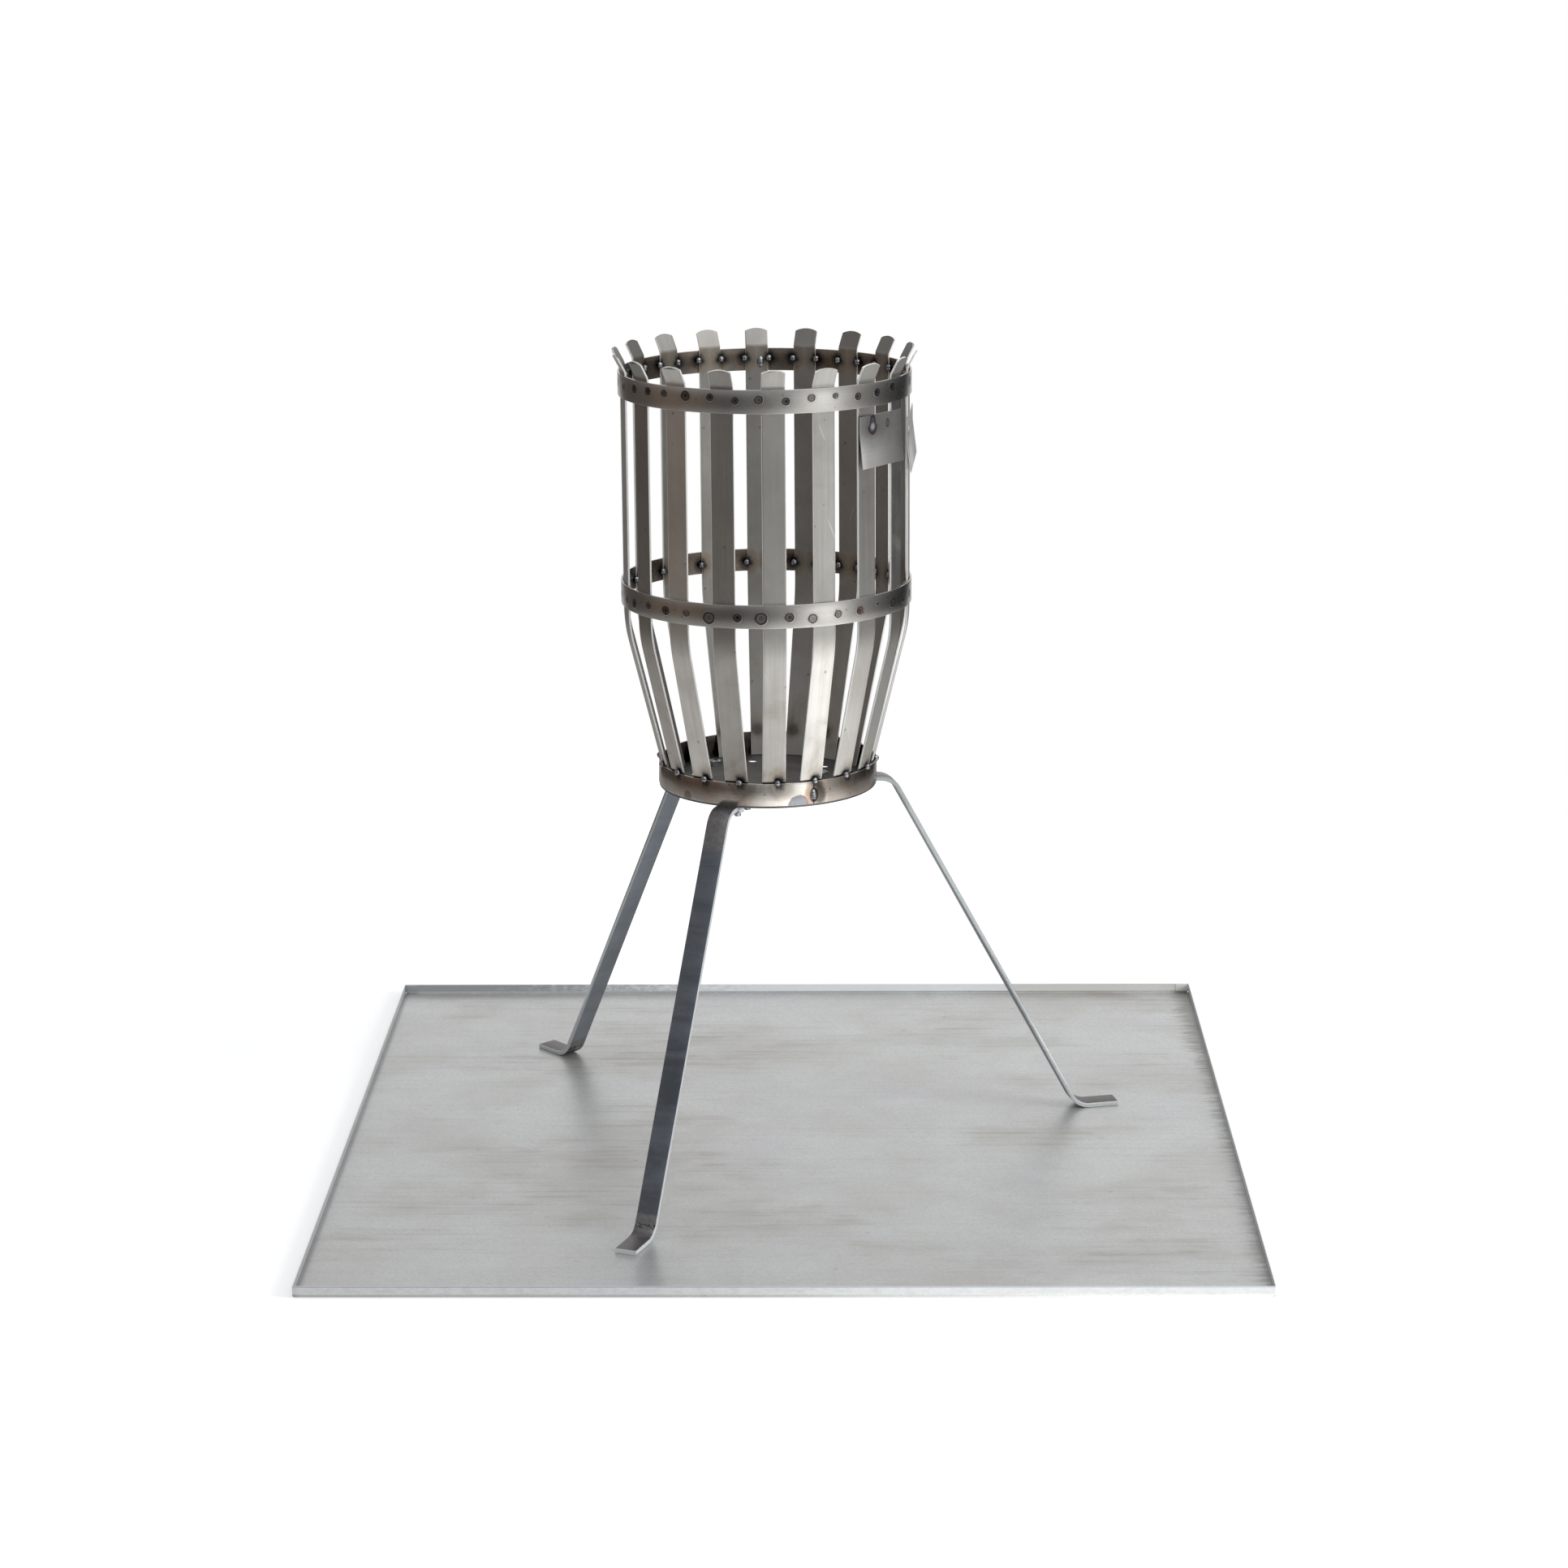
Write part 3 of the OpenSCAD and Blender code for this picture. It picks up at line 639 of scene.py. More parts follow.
# Painted highlight: the bare sides grow lighter near the foot.
bright = mix(tree, fade(tree, z, 0.15, 0.03), bright, tone(216, 219, 221))
loose = calc(tree, "MULTIPLY", between(tree, bent, 0.06, 0.45), calc(tree, "SUBTRACT", mottle, 0.5))
ragged = calc(tree, "ADD", edge, loose)
colour = mix(tree, fade(tree, ragged, 0.42, 0.62), colour, bright)
join(tree, colour, shader.inputs["Base Color"])
dull = calc(tree, "ADD", between(tree, bands, 0.3, 0.42), calc(tree, "MULTIPLY", bent, 0.1))
join(tree, dull, shader.inputs["Roughness"])
join(tree, between(tree, fade(tree, edge, 1.1, 1.5), 1.0, 0.25), shader.inputs["Metallic"])
relief(tree, shader, calc(tree, "ADD", calc(tree, "MULTIPLY", mottle, calc(tree, "ADD", bent, 0.3)),
                          calc(tree, "MULTIPLY", flakes, -0.8)), 0.00004)
print(SCALE.name, "has", len(tree.nodes), "nodes")

# %% [markdown]
# ## Galvanised sheet, for the tray
#
# Hot-dip zinc that has been skin-passed: pale, matt, with a fine speckle, fine
# streaks in the rolling direction from left to right, dull brownish stains and
# small dark specks. A dark streaky band runs in from the right rim. Light is
# painted in too: the sheet grows lighter towards the back right, the walls are
# painted paler, the inside of the back wall has painted light at the right and
# painted shade at the left, and painted shade runs along the left fold.

# %% Galvanised sheet
ZINC_SHEET, tree, shader, spot = new_finish("galvanised_tray_sheet", 0.34, 0.58)
x, y, z = split(tree, spot)
speckle = wisps(tree, spot, 360.0, 4.0, 0.75)
streaks = wisps(tree, stretch(tree, spot, (0.05, 1, 1)), 150.0, 4.0, 0.6)
sweeps = wisps(tree, spot, 8.0, 6.0, 0.62, 0.4)
threads = wisps(tree, stretch(tree, spot, (0.03, 1, 1)), 130.0, 2.0, 0.5)
haze = fade(tree, wisps(tree, stretch(tree, spot, (0.55, 1, 1), (2.2, 0.9, 0)), 5.5, 4.0, 0.55), 0.44, 0.66)
broken = fade(tree, wisps(tree, stretch(tree, spot, (0.5, 1, 1)), 26.0, 4.0, 0.62), 0.4, 0.62)
specks = effect(tree, SPECKS, Vector=stretch(tree, spot, (0.4, 1, 1)), Scale=58.0, Size=0.08, Share=0.3)["Mask"]
edge = number_of(tree, "edge")
colour = mix(tree, fade(tree, sweeps, 0.36, 0.64), tone(184, 185, 183), tone(193, 195, 195))
lilac = fade(tree, wisps(tree, stretch(tree, spot, (1, 1, 1), (5.1, 2.3, 0)), 7.0, 3.0), 0.5, 0.7)
colour = mix(tree, calc(tree, "MULTIPLY", lilac, 0.35), colour, tone(192, 188, 197))
colour = mix(tree, calc(tree, "MULTIPLY", fade(tree, speckle, 0.4, 0.66), 0.42), colour, tone(158, 159, 157))
colour = mix(tree, calc(tree, "MULTIPLY", fade(tree, streaks, 0.5, 0.72), 0.16), colour, tone(158, 158, 155))
stained = calc(tree, "MULTIPLY", haze, between(tree, broken, 0.28, 0.56))
colour = mix(tree, stained, colour, tone(169, 165, 160))
drawn = calc(tree, "MULTIPLY", fade(tree, threads, 0.48, 0.62), between(tree, haze, 0.12, 0.5))
drawn = calc(tree, "MULTIPLY", drawn, between(tree, broken, 0.3, 1.0))
colour = mix(tree, drawn, colour, tone(148, 143, 138))
colour = mix(tree, calc(tree, "MULTIPLY", specks, 0.6), colour, tone(108, 104, 99))
# A dark streaky band runs in along the inside of the right rim.
fringe = wisps(tree, stretch(tree, spot, (0.2, 1, 1)), 120.0, 5.0, 0.7)
run_in = calc(tree, "ADD", x, calc(tree, "MULTIPLY", calc(tree, "SUBTRACT", fringe, 0.5), 0.06))
run_in = calc(tree, "ADD", run_in, calc(tree, "MULTIPLY", fade(tree, y, 0.1, 0.45), 0.012))
colour = mix(tree, calc(tree, "MULTIPLY", fade(tree, run_in, 0.476, 0.5), 0.6), colour, tone(98, 96, 91))
# Painted shade: a dark line along the floor of the tray at the left fold.
left_fold_painted_shade = calc(tree, "MULTIPLY", fade(tree, x, -0.486, -0.4925), 0.45)
colour = mix(tree, left_fold_painted_shade, colour, tone(96, 97, 98))
# Painted light: the sheet is made lighter towards the back and the right.
painted_light_slope = calc(tree, "ADD", calc(tree, "MULTIPLY", x, 0.077), calc(tree, "MULTIPLY", y, 0.185))
painted_light_slope = calc(tree, "ADD", painted_light_slope, 0.995)
colour = mix(tree, 1.0, colour, gather(tree, painted_light_slope, painted_light_slope, painted_light_slope), "MULTIPLY")
walls = fade(tree, z, 0.0022, 0.004)
mottled = fade(tree, wisps(tree, stretch(tree, spot, (1, 1, 2.2)), 90.0, 5.0, 0.7), 0.4, 0.66)
# Painted light: the walls of the tray are made paler than its floor, with a mottle.
colour = mix(tree, calc(tree, "MULTIPLY", walls, 0.6), colour, tone(224, 227, 230))
colour = mix(tree, calc(tree, "MULTIPLY", calc(tree, "MULTIPLY", walls, mottled), 0.3), colour, tone(160, 163, 166))
# Painted light on the inside of the back wall: made very pale, a little less so right of the right leg, and dark at the
# left as painted shade.
back_wall_painted_light = calc(tree, "MULTIPLY", walls, fade(tree, y, 0.486, 0.492))
back_left_painted_shade = calc(tree, "MULTIPLY", back_wall_painted_light, fade(tree, calc(tree, "ADD", x, calc(tree, "MULTIPLY", mottled, 0.12)), 0.02, -0.34))
colour = mix(tree, calc(tree, "MULTIPLY", back_wall_painted_light, 0.8), colour, tone(240, 243, 245))
back_right_painted_light = calc(tree, "MULTIPLY", back_wall_painted_light, fade(tree, x, 0.266, 0.27))
colour = mix(tree, calc(tree, "MULTIPLY", back_right_painted_light, 0.9), colour, tone(214, 213, 210))
colour = mix(tree, calc(tree, "MULTIPLY", back_left_painted_shade, 0.75), colour, tone(110, 113, 115))
front_right = calc(tree, "MULTIPLY", calc(tree, "MULTIPLY", walls, fade(tree, y, -0.49, -0.4985)), fade(tree, x, 0.0, 0.45))
colour = mix(tree, calc(tree, "MULTIPLY", front_right, 0.45), colour, tone(150, 151, 153))
front_top = calc(tree, "MULTIPLY", fade(tree, z, 0.0104, 0.0112), fade(tree, y, -0.49, -0.4985))
colour = mix(tree, calc(tree, "MULTIPLY", front_top, 0.6), colour, tone(128, 138, 154))
colour = mix(tree, calc(tree, "MULTIPLY", edge, 0.8), colour, tone(226, 228, 230))
metal = calc(tree, "SUBTRACT", between(tree, walls, 0.58, 0.35), calc(tree, "MULTIPLY", back_wall_painted_light, 0.3))
join(tree, metal, shader.inputs["Metallic"])
join(tree, colour, shader.inputs["Base Color"])
dull = calc(tree, "ADD", between(tree, speckle, 0.30, 0.40), calc(tree, "MULTIPLY", stained, 0.14))
join(tree, dull, shader.inputs["Roughness"])
relief(tree, shader, calc(tree, "ADD", speckle, streaks), 0.00002)
print(ZINC_SHEET.name, "has", len(tree.nodes), "nodes")

# %% [markdown]
# ## Sooted plate, zinc plated fasteners and weld metal
#
# The floor plate is dull and dark. Bolts, nuts and washers are bright zinc.
# Fresh weld beads are almost mirrors, with a grey skin in the hollows, so their
# roughness is low and only moves a little.

# %% Sooted plate, fasteners and weld metal
SOOTED, tree, shader, spot = new_finish("sooted_plate", 0.55, 0.85)
clouds = effect(tree, CLOUDY, Vector=spot, Scale=24.0)
grit = wisps(tree, spot, 420.0, 4.0, 0.7)
pits = effect(tree, SPECKS, Vector=spot, Scale=150.0, Size=0.25, Share=0.2)["Mask"]
colour = mix(tree, clouds["Tone"], tone(86, 84, 84), tone(112, 109, 107))
colour = mix(tree, calc(tree, "MULTIPLY", clouds["Patches"], 0.5), colour, tone(92, 76, 66))
colour = mix(tree, calc(tree, "MULTIPLY", pits, 0.7), colour, tone(48, 44, 42))
colour = mix(tree, calc(tree, "MULTIPLY", number_of(tree, "edge"), 0.25), colour, tone(120, 118, 116))
join(tree, colour, shader.inputs["Base Color"])
join(tree, between(tree, grit, 0.45, 0.62), shader.inputs["Roughness"])
relief(tree, shader, grit, 0.00006)

PLATED, tree, shader, spot = new_finish("plated_fasteners", 0.26)
clouds = effect(tree, CLOUDY, Vector=spot, Scale=90.0)
colour = mix(tree, clouds["Tone"], tone(196, 202, 208), tone(220, 224, 228))
colour = mix(tree, calc(tree, "MULTIPLY", clouds["Patches"], 0.35), colour, tone(150, 152, 150))
join(tree, colour, shader.inputs["Base Color"])
join(tree, between(tree, clouds["Tone"], 0.2, 0.32), shader.inputs["Roughness"])
relief(tree, shader, wisps(tree, spot, 900.0, 2.0), 0.00002)

BEAD, tree, shader, spot = new_finish("fresh_weld", 0.2)
skin = wisps(tree, spot, 520.0, 3.0, 0.6, 0.5)
colour = mix(tree, fade(tree, skin, 0.35, 0.7), tone(158, 160, 165), tone(104, 104, 109))
burnt = fade(tree, wisps(tree, spot, 260.0, 2.0, 0.5), 0.6, 0.72)
colour = mix(tree, calc(tree, "MULTIPLY", burnt, 0.6), colour, tone(78, 66, 60))
join(tree, colour, shader.inputs["Base Color"])
join(tree, between(tree, skin, 0.14, 0.32), shader.inputs["Roughness"])
relief(tree, shader, skin, 0.0001)
print("plate, fastener and weld finishes made")

# %% [markdown]
# ## Bare plates
#
# The two name plates are left blank. Each is held by one large spot weld and
# one small one, whose marks show through: a bright middle, a grey disc and a
# brown rim that runs up to the top edge. The map `strip` is measured from the
# middle of the plate's top edge.

# %% Tag steel
TAG, tree, shader, spot = new_finish("blank_plate_steel", 0.38, 0.82)
strip_map = uv_of(tree, "strip")
x, y, _ = split(tree, strip_map)
lines = effect(tree, ROLLED, Vector=gather(tree, y, x), Fineness=700.0)["Lines"]
clouds = effect(tree, CLOUDY, Vector=spot, Scale=20.0)
pits = effect(tree, SPECKS, Vector=spot, Scale=100.0, Size=0.2, Share=0.1)["Mask"]
edge = number_of(tree, "edge")
colour = mix(tree, clouds["Tone"], tone(144, 143, 141), tone(160, 159, 157))
# Painted light: the lower left of the plate is made pale.
lower_left_painted_light = calc(tree, "MULTIPLY", fade(tree, x, 0.03, -0.03), fade(tree, y, -0.01, -0.045))
colour = mix(tree, calc(tree, "MULTIPLY", lower_left_painted_light, 0.95), colour, tone(236, 235, 233))
colour = mix(tree, calc(tree, "MULTIPLY", lines, 0.14), colour, tone(130, 128, 127))
colour = mix(tree, calc(tree, "MULTIPLY", clouds["Patches"], 0.22), colour, tone(138, 128, 118))
colour = mix(tree, calc(tree, "MULTIPLY", pits, 0.5), colour, tone(80, 74, 70))
above = fade(tree, y, -0.0125, -0.009)
wide = calc(tree, "MULTIPLY", calc(tree, "SUBTRACT", x, -0.0146), between(tree, above, 1.0, 1.5))
tall = calc(tree, "MULTIPLY", calc(tree, "ADD", y, 0.0121), between(tree, above, 1.0, 0.62))
big = gather(tree, calc(tree, "DIVIDE", wide, 0.0080), calc(tree, "DIVIDE", tall, 0.0082))
rings = effect(tree, RINGS, Vector=big, Shade=0.1)
middle = fade(tree, span(tree, calc(tree, "SUBTRACT", x, -0.0146), calc(tree, "ADD", y, 0.0121)), 0.0048, 0.0018)
for ring, share, burnt in (("Glow", 0.45, tone(138, 122, 114)), ("Disc", 0.8, tone(98, 102, 112)),
                           ("Rim", 0.85, tone(66, 48, 52))):
    colour = mix(tree, calc(tree, "MULTIPLY", rings[ring], share), colour, burnt)
colour = mix(tree, middle, colour, tone(226, 232, 240))
small = gather(tree, calc(tree, "DIVIDE", calc(tree, "SUBTRACT", x, 0.0124), 0.0030),
               calc(tree, "DIVIDE", calc(tree, "ADD", y, 0.0116), 0.0044))
rings = effect(tree, RINGS, Vector=small, Shade=0.4)
for ring, share, burnt in (("Glow", 0.3, tone(140, 126, 118)), ("Disc", 0.55, tone(104, 102, 104)),
                           ("Rim", 0.8, tone(66, 54, 52))):
    colour = mix(tree, calc(tree, "MULTIPLY", rings[ring], share), colour, burnt)
colour = mix(tree, calc(tree, "MULTIPLY", edge, 0.7), colour, tone(226, 225, 223))
join(tree, colour, shader.inputs["Base Color"])
dull = calc(tree, "SUBTRACT", between(tree, lines, 0.33, 0.42), calc(tree, "MULTIPLY", middle, 0.18))
join(tree, dull, shader.inputs["Roughness"])
relief(tree, shader, calc(tree, "ADD", lines, calc(tree, "MULTIPLY", rings["Raise"], 4.0)), 0.00003)
print(TAG.name, "has", len(tree.nodes), "nodes")

# %% [markdown]
# ## The staves
#
# A stave is one strip that leans out from the bottom hoop, bends upright at a
# gentle knee below the middle hoop, and bends out once more above the top hoop.
# A rounded rectangle travels along that path. The tip is cut to a crown: the
# last ring has several verts across it, and each slides back down the slope by
# the height of the crown's arc. The other way would be a flat strip with bend
# modifiers, but then the radii would only be near what the CAD says.

# %% Staves
STAVE_PATH = [(111.077, 410.2), (155.398, 590.1), (155.398, 868.1), (164.787, 885.759)]
# Painted light: the first table scales each stave's colour for how light falls on it at its turn; the second lightens
# the lower stretch, which mirrors the bright floor.
STAVE_PAINTED_LIGHT = [1.0, 0.76, 0.92, 1.05, 1.0, 0.93, 1.08, 0.9, 1.0, 1.06, 0.92, 1.0, 0.9, 1.05, 0.95, 0.84, 1.3, 0.88]
LOWER_PAINTED_LIGHT = [1.14, 1.42, 1.26, 1.2, 1.15, 1.1, 1.15, 1.0, 1.1, 1.15, 1.0, 1.1, 1.0, 1.15, 1.1, 1.1, 1.5, 1.16]
CROWN_R = 25.0


def make_stave(i):
    bm = bmesh.new()
    rise = (Vector(STAVE_PATH[1]) - Vector(STAVE_PATH[0])).normalized()
    inward = Vector((-rise[1], 0, rise[0]))
    start = Vector((STAVE_PATH[0][0], 0, STAVE_PATH[0][1])) + inward
    edges = bar_section(bm, STRIP_W, 2.0, 0.35, (0, 1, 0), inward, start, columns=14)
    verts, edges = travel(bm, edges, STAVE_PATH, [150, 8], [6, 8])
    slope = (Vector(STAVE_PATH[3]) - Vector(STAVE_PATH[2])).normalized()
    for vert in verts:
        off = vert.co.y / MM
        back = CROWN_R - math.sqrt(CROWN_R ** 2 - off ** 2)
        vert.co -= Vector((slope[0], 0, slope[1])) * back * MM
    close_ring(bm, edges)
    bmesh.ops.recalc_face_normals(bm, faces=bm.faces)
    mark_faces(bm, "edge", lambda f: abs(f.normal.y) > 0.3 or f.normal.dot(Vector((slope[0], 0, slope[1]))) > 0.7)
    mark_faces(bm, "inside", lambda f: f.normal.x < -0.3)
    # Painted light for this stave, read by the finish as the numbers depth and low.
    mark_faces(bm, "depth", lambda f: STAVE_PAINTED_LIGHT[i])
    mark_faces(bm, "low", lambda f: LOWER_PAINTED_LIGHT[i])
    flat_map(bm, "strip", lambda loop, face: (loop.vert.co.y + i, loop.vert.co.z))
    turn_to(bm, STAVE_TURNS[i] - 90)
    return settle(f"basket_stave_{i + 1:02d}", bm, BARE, "basket", [f"stave_{i + 1:02d}"])


staves = [make_stave(i) for i in range(STAVE_COUNT)]
print(len(staves), "staves of", len(staves[0].data.polygons), "faces")

# %% [markdown]
# ## The hoops
#
# Each hoop is a strip rolled into a ring and butt welded, so it is a spin of
# the same rounded section that stops one millimetre short of a full turn. The
# upper hoops are welded to the staves from inside, and the heat shows outside
# as a round mark at both edges of every stave. Where the marks were measured,
# their turn, height, radius, darkness and warmth are listed. The rest are
# spread round the back in the same manner, from a fixed seed.

# %% The marks on the upper hoops
TOP_MARKS = [(-59.1, 855.9, 4.8, 0.9, 0), (-49.5, 856.5, 4.6, 0.95, 0), (-40.4, 856.9, 4.0, 0.6, 0),
             (-30.2, 856.7, 5.4, 0.85, 0.1), (-19.8, 856.8, 4.0, 0.85, 0), (-9.9, 854.0, 4.1, 0.75, 0),
             (-0.9, 855.1, 4.6, 0.5, 0.1), (9.4, 853.1, 4.2, 0.95, 0), (19.2, 855.7, 4.0, 0.45, 0.2),
             (29.0, 856.2, 3.1, 0.6, 0), (39.2, 853.0, 4.1, 0.95, 0.1), (49.3, 854.3, 4.3, 0.95, 0),
             (59.3, 856.9, 4.3, 0.85, 0), (69.2, 852.2, 3.2, 0.7, 0.2)]
MIDDLE_MARKS = [(-62.2, 623.5, 5.0, 0.9, 0), (-51.3, 626.2, 4.0, 0.6, 0), (-41.2, 625.2, 5.0, 0.9, 0.1),
                (-31.1, 625.7, 3.9, 0.35, 0.3), (-21.3, 623.0, 6.6, 0.35, 0.1), (-9.9, 624.7, 4.8, 1.0, 0.1),
                (-0.7, 624.1, 6.6, 0.4, 0.1), (10.2, 624.9, 4.9, 0.8, 0.1), (19.3, 622.2, 5.0, 0.3, 0.1),
                (29.8, 624.5, 4.1, 0.4, 0.1), (39.9, 624.9, 4.4, 1.0, 0.6), (49.6, 628.3, 1.8, 1.0, 0),
                (59.8, 624.5, 5.0, 0.25, 0), (69.7, 623.5, 4.0, 0.6, 0)]


def round_the_back(measured, height, seed):
    """The measured marks, and one for each edge of every other stave."""
    dice = random.Random(seed)
    marks = list(measured)
    for turn in STAVE_TURNS:
        for side in (-4.97, 4.97):
            here = (turn + side + 180) % 360 - 180
            if here < -66 or here > 74:
                marks.append((here + dice.uniform(-0.4, 0.4), height + dice.uniform(-1.8, 1.8),
                              dice.uniform(3.4, 5.2), dice.uniform(0.3, 1.0), dice.choice((0, 0, 0.1, 0.4))))
    return marks


top_marks = round_the_back(TOP_MARKS, 855.2, 11)
middle_marks = round_the_back(MIDDLE_MARKS, 624.0, 12)
print(len(top_marks), "marks on the top hoop,", len(middle_marks), "on the middle one")

# %% Hoops
def turn_gap(a, b):
    """The smallest signed difference of two turns, in degrees."""
    return (a - b + 180) % 360 - 180


def make_hoop(name, radius, low, joint_turn, material, node, beads, marks=()):
    """A rolled strip; beads and marks are places (turn, height, ...) that its finish is measured from."""
    bm = bmesh.new()
    edges = bar_section(bm, STRIP_W, 2.0, 0.35, (0, 0, 1), (1, 0, 0), (radius - 1, 0, low + STRIP_W / 2), columns=2)
    half_gap = math.degrees(0.5 / radius)
    verts = ends_of(edges)
    bmesh.ops.rotate(bm, cent=(0, 0, 0), matrix=Matrix.Rotation(math.radians(half_gap), 3, "Z"), verts=bm.verts)
    spun = bmesh.ops.spin(bm, geom=verts + edges, cent=(0, 0, 0), axis=(0, 0, 1),
                          angle=math.radians(360 - 2 * half_gap), steps=144)
    close_ring(bm, last_ring(spun["geom_last"])[1])
    bmesh.ops.recalc_face_normals(bm, faces=bm.faces)

    def outwards(face):
        middle = face.calc_center_median()
        return face.normal.x * middle.x + face.normal.y * middle.y, middle

    mark_faces(bm, "edge", lambda f: abs(f.normal.z) > 0.3)
    mark_faces(bm, "inside", lambda f: outwards(f)[0] < 0 and abs(f.normal.z) < 0.9)

    def turn_of(point):
        return joint_turn + math.degrees(math.atan2(point.y, point.x)) % 360

    def nearest(face, places):
        turn = turn_of(outwards(face)[1])
        return min(places, key=lambda place: abs(turn_gap(turn, place[0])))

    def from_place(place, size):
        return lambda loop, face: (
            math.radians(turn_gap(turn_of(loop.vert.co), place(face)[0])) * radius / size(face),
            (loop.vert.co.z / MM - place(face)[1]) / size(face))

    bm.faces.index_update()
    near_bead = [nearest(face, beads) for face in bm.faces]
    flat_map(bm, "strip", lambda loop, face: (
        math.radians(turn_of(loop.vert.co) - joint_turn) * radius * MM, loop.vert.co.z))
    flat_map(bm, "bead", from_place(lambda face: near_bead[face.index], lambda face: 1000))
    if marks:
        near_mark = [nearest(face, marks) for face in bm.faces]
        flat_map(bm, "mark", from_place(lambda face: near_mark[face.index], lambda face: near_mark[face.index][2]))
        mark_faces(bm, "shade", lambda face: near_mark[face.index][3])
        mark_faces(bm, "warmth", lambda face: near_mark[face.index][4])
    turn_to(bm, joint_turn - 90)
    return settle(name, bm, material, "basket", [node])


foot_beads = [(turn + 1.8, 435.9) for turn in STAVE_TURNS]
side_beads = [turn + side for turn in STAVE_TURNS for side in (-4.97, 4.97)]
hoops = [
    make_hoop("hoop_bottom", BASE_R, BOTTOM_Z, 25.5, TINTED, "bottom_hoop", foot_beads),
    make_hoop("hoop_middle", HOOP_R, MIDDLE_Z, 174.0, HOOP, "middle_hoop",
              [(turn, 623.6) for turn in side_beads], middle_marks),
    make_hoop("hoop_top", HOOP_R, TOP_Z, 183.0, HOOP, "top_hoop",
              [(turn, 854.6) for turn in side_beads], top_marks)]
print([(hoop.name, len(hoop.data.polygons)) for hoop in hoops])

# %% [markdown]
# ## The floor plate
#
# A round plate with drain holes, seen through the staves from above and as a
# thin dark edge under the bottom hoop. The outline and the holes are circles
# in one plane, `triangle_fill` spans the face between them, and extruding that
# face gives the thickness.

# %% Floor plate
bm = bmesh.new()
holes = [(0, 0, 6.0)] + [(84.0, 13 + 120 * k + side * 30, 6.0) for k in range(3) for side in (-1, 1)]
holes += [(reach, angle, 4.5) for angle in LEG_ANGLES.values() for reach in (61.0, 89.0)]
bmesh.ops.create_circle(bm, segments=144, radius=119.5 * MM)
for reach, angle, radius in holes:
    spot = Matrix.Rotation(math.radians(angle), 4, "Z") @ Matrix.Translation((reach * MM, 0, 0))
    bmesh.ops.create_circle(bm, segments=24, radius=radius * MM, matrix=spot)
bmesh.ops.triangle_fill(bm, use_beauty=True, edges=bm.edges[:])
grown = bmesh.ops.extrude_face_region(bm, geom=bm.faces[:])["geom"]
bmesh.ops.translate(bm, verts=[g for g in grown if isinstance(g, bmesh.types.BMVert)], vec=(0, 0, 2.0 * MM))
bmesh.ops.recalc_face_normals(bm, faces=bm.faces)
mark_faces(bm, "edge", lambda f: abs(f.normal.z) < 0.5)
bmesh.ops.translate(bm, verts=bm.verts, vec=(0, 0, PLATE_Z * MM))
turn_to(bm, 0)
plate = settle("basket_floor", bm, SOOTED, "basket", ["floor_plate"])
print(plate.name, len(plate.data.polygons), "faces")

# %% [markdown]
# ## The legs
#
# Each leg is one flat bar with two bends: level under the floor plate, straight
# down and out, and level again as a foot. The path is the middle of the bar.

# %% Legs
LEG_PATH = [(42.0, 405.6), (139.0, 405.6), (357.0, 3.6), (405.0, 3.6)]


def make_leg(name, angle, number):
    bm = bmesh.new()
    edges = bar_section(bm, 24.0, 5.0, 0.7, (0, 1, 0), (0, 0, 1), (42.0, 0, 405.6), columns=2)
    verts, edges = travel(bm, edges, LEG_PATH, [24, 24], [14, 14])
    close_ring(bm, edges)
    bmesh.ops.recalc_face_normals(bm, faces=bm.faces)
    # Painted light: the front leg's sides get the brightest value, and the right leg's a little less than the left
    # leg's, for how light falls on each.
    painted_side_light = {"front": 1.6, "right": 0.94}.get(name, 1.0)
    # Painted light: the left leg's faces are marked to be painted paler.
    mark_faces(bm, "painted_lighter_leg", lambda f: name == "left")
    mark_faces(bm, "edge", lambda f: (abs(f.normal.y) > 0.9 and painted_side_light) or (0.3 < abs(f.normal.y) and 0.55)
               or (abs(f.normal.x) > 0.999 and 1.6))
    flat_map(bm, "strip", lambda loop, face: (loop.vert.co.y + 0.3 * number, loop.vert.co.x - loop.vert.co.z))
    turn_to(bm, angle)
    return settle(f"leg_bar_{name}", bm, SCALE, "basket", [f"leg_{name}"])


legs = [make_leg(name, angle, k) for k, (name, angle) in enumerate(LEG_ANGLES.items())]
print([leg.name for leg in legs])

# %% [markdown]
# ## Bolts, washers and nuts
#
# A hexagon's corners are chamfered by a cone. Here the hexagon's outline is
# subdivided, and every vert of the top ring drops by the cone's height at its
# distance from the middle, before a round top closes it. The thread is a true
# helix: a small tooth is spun about the bolt with a drop for each step.

# %% Fasteners
BOLT_PLACES = [(angle, reach) for angle in LEG_ANGLES.values() for reach in (61.0, 89.0)]


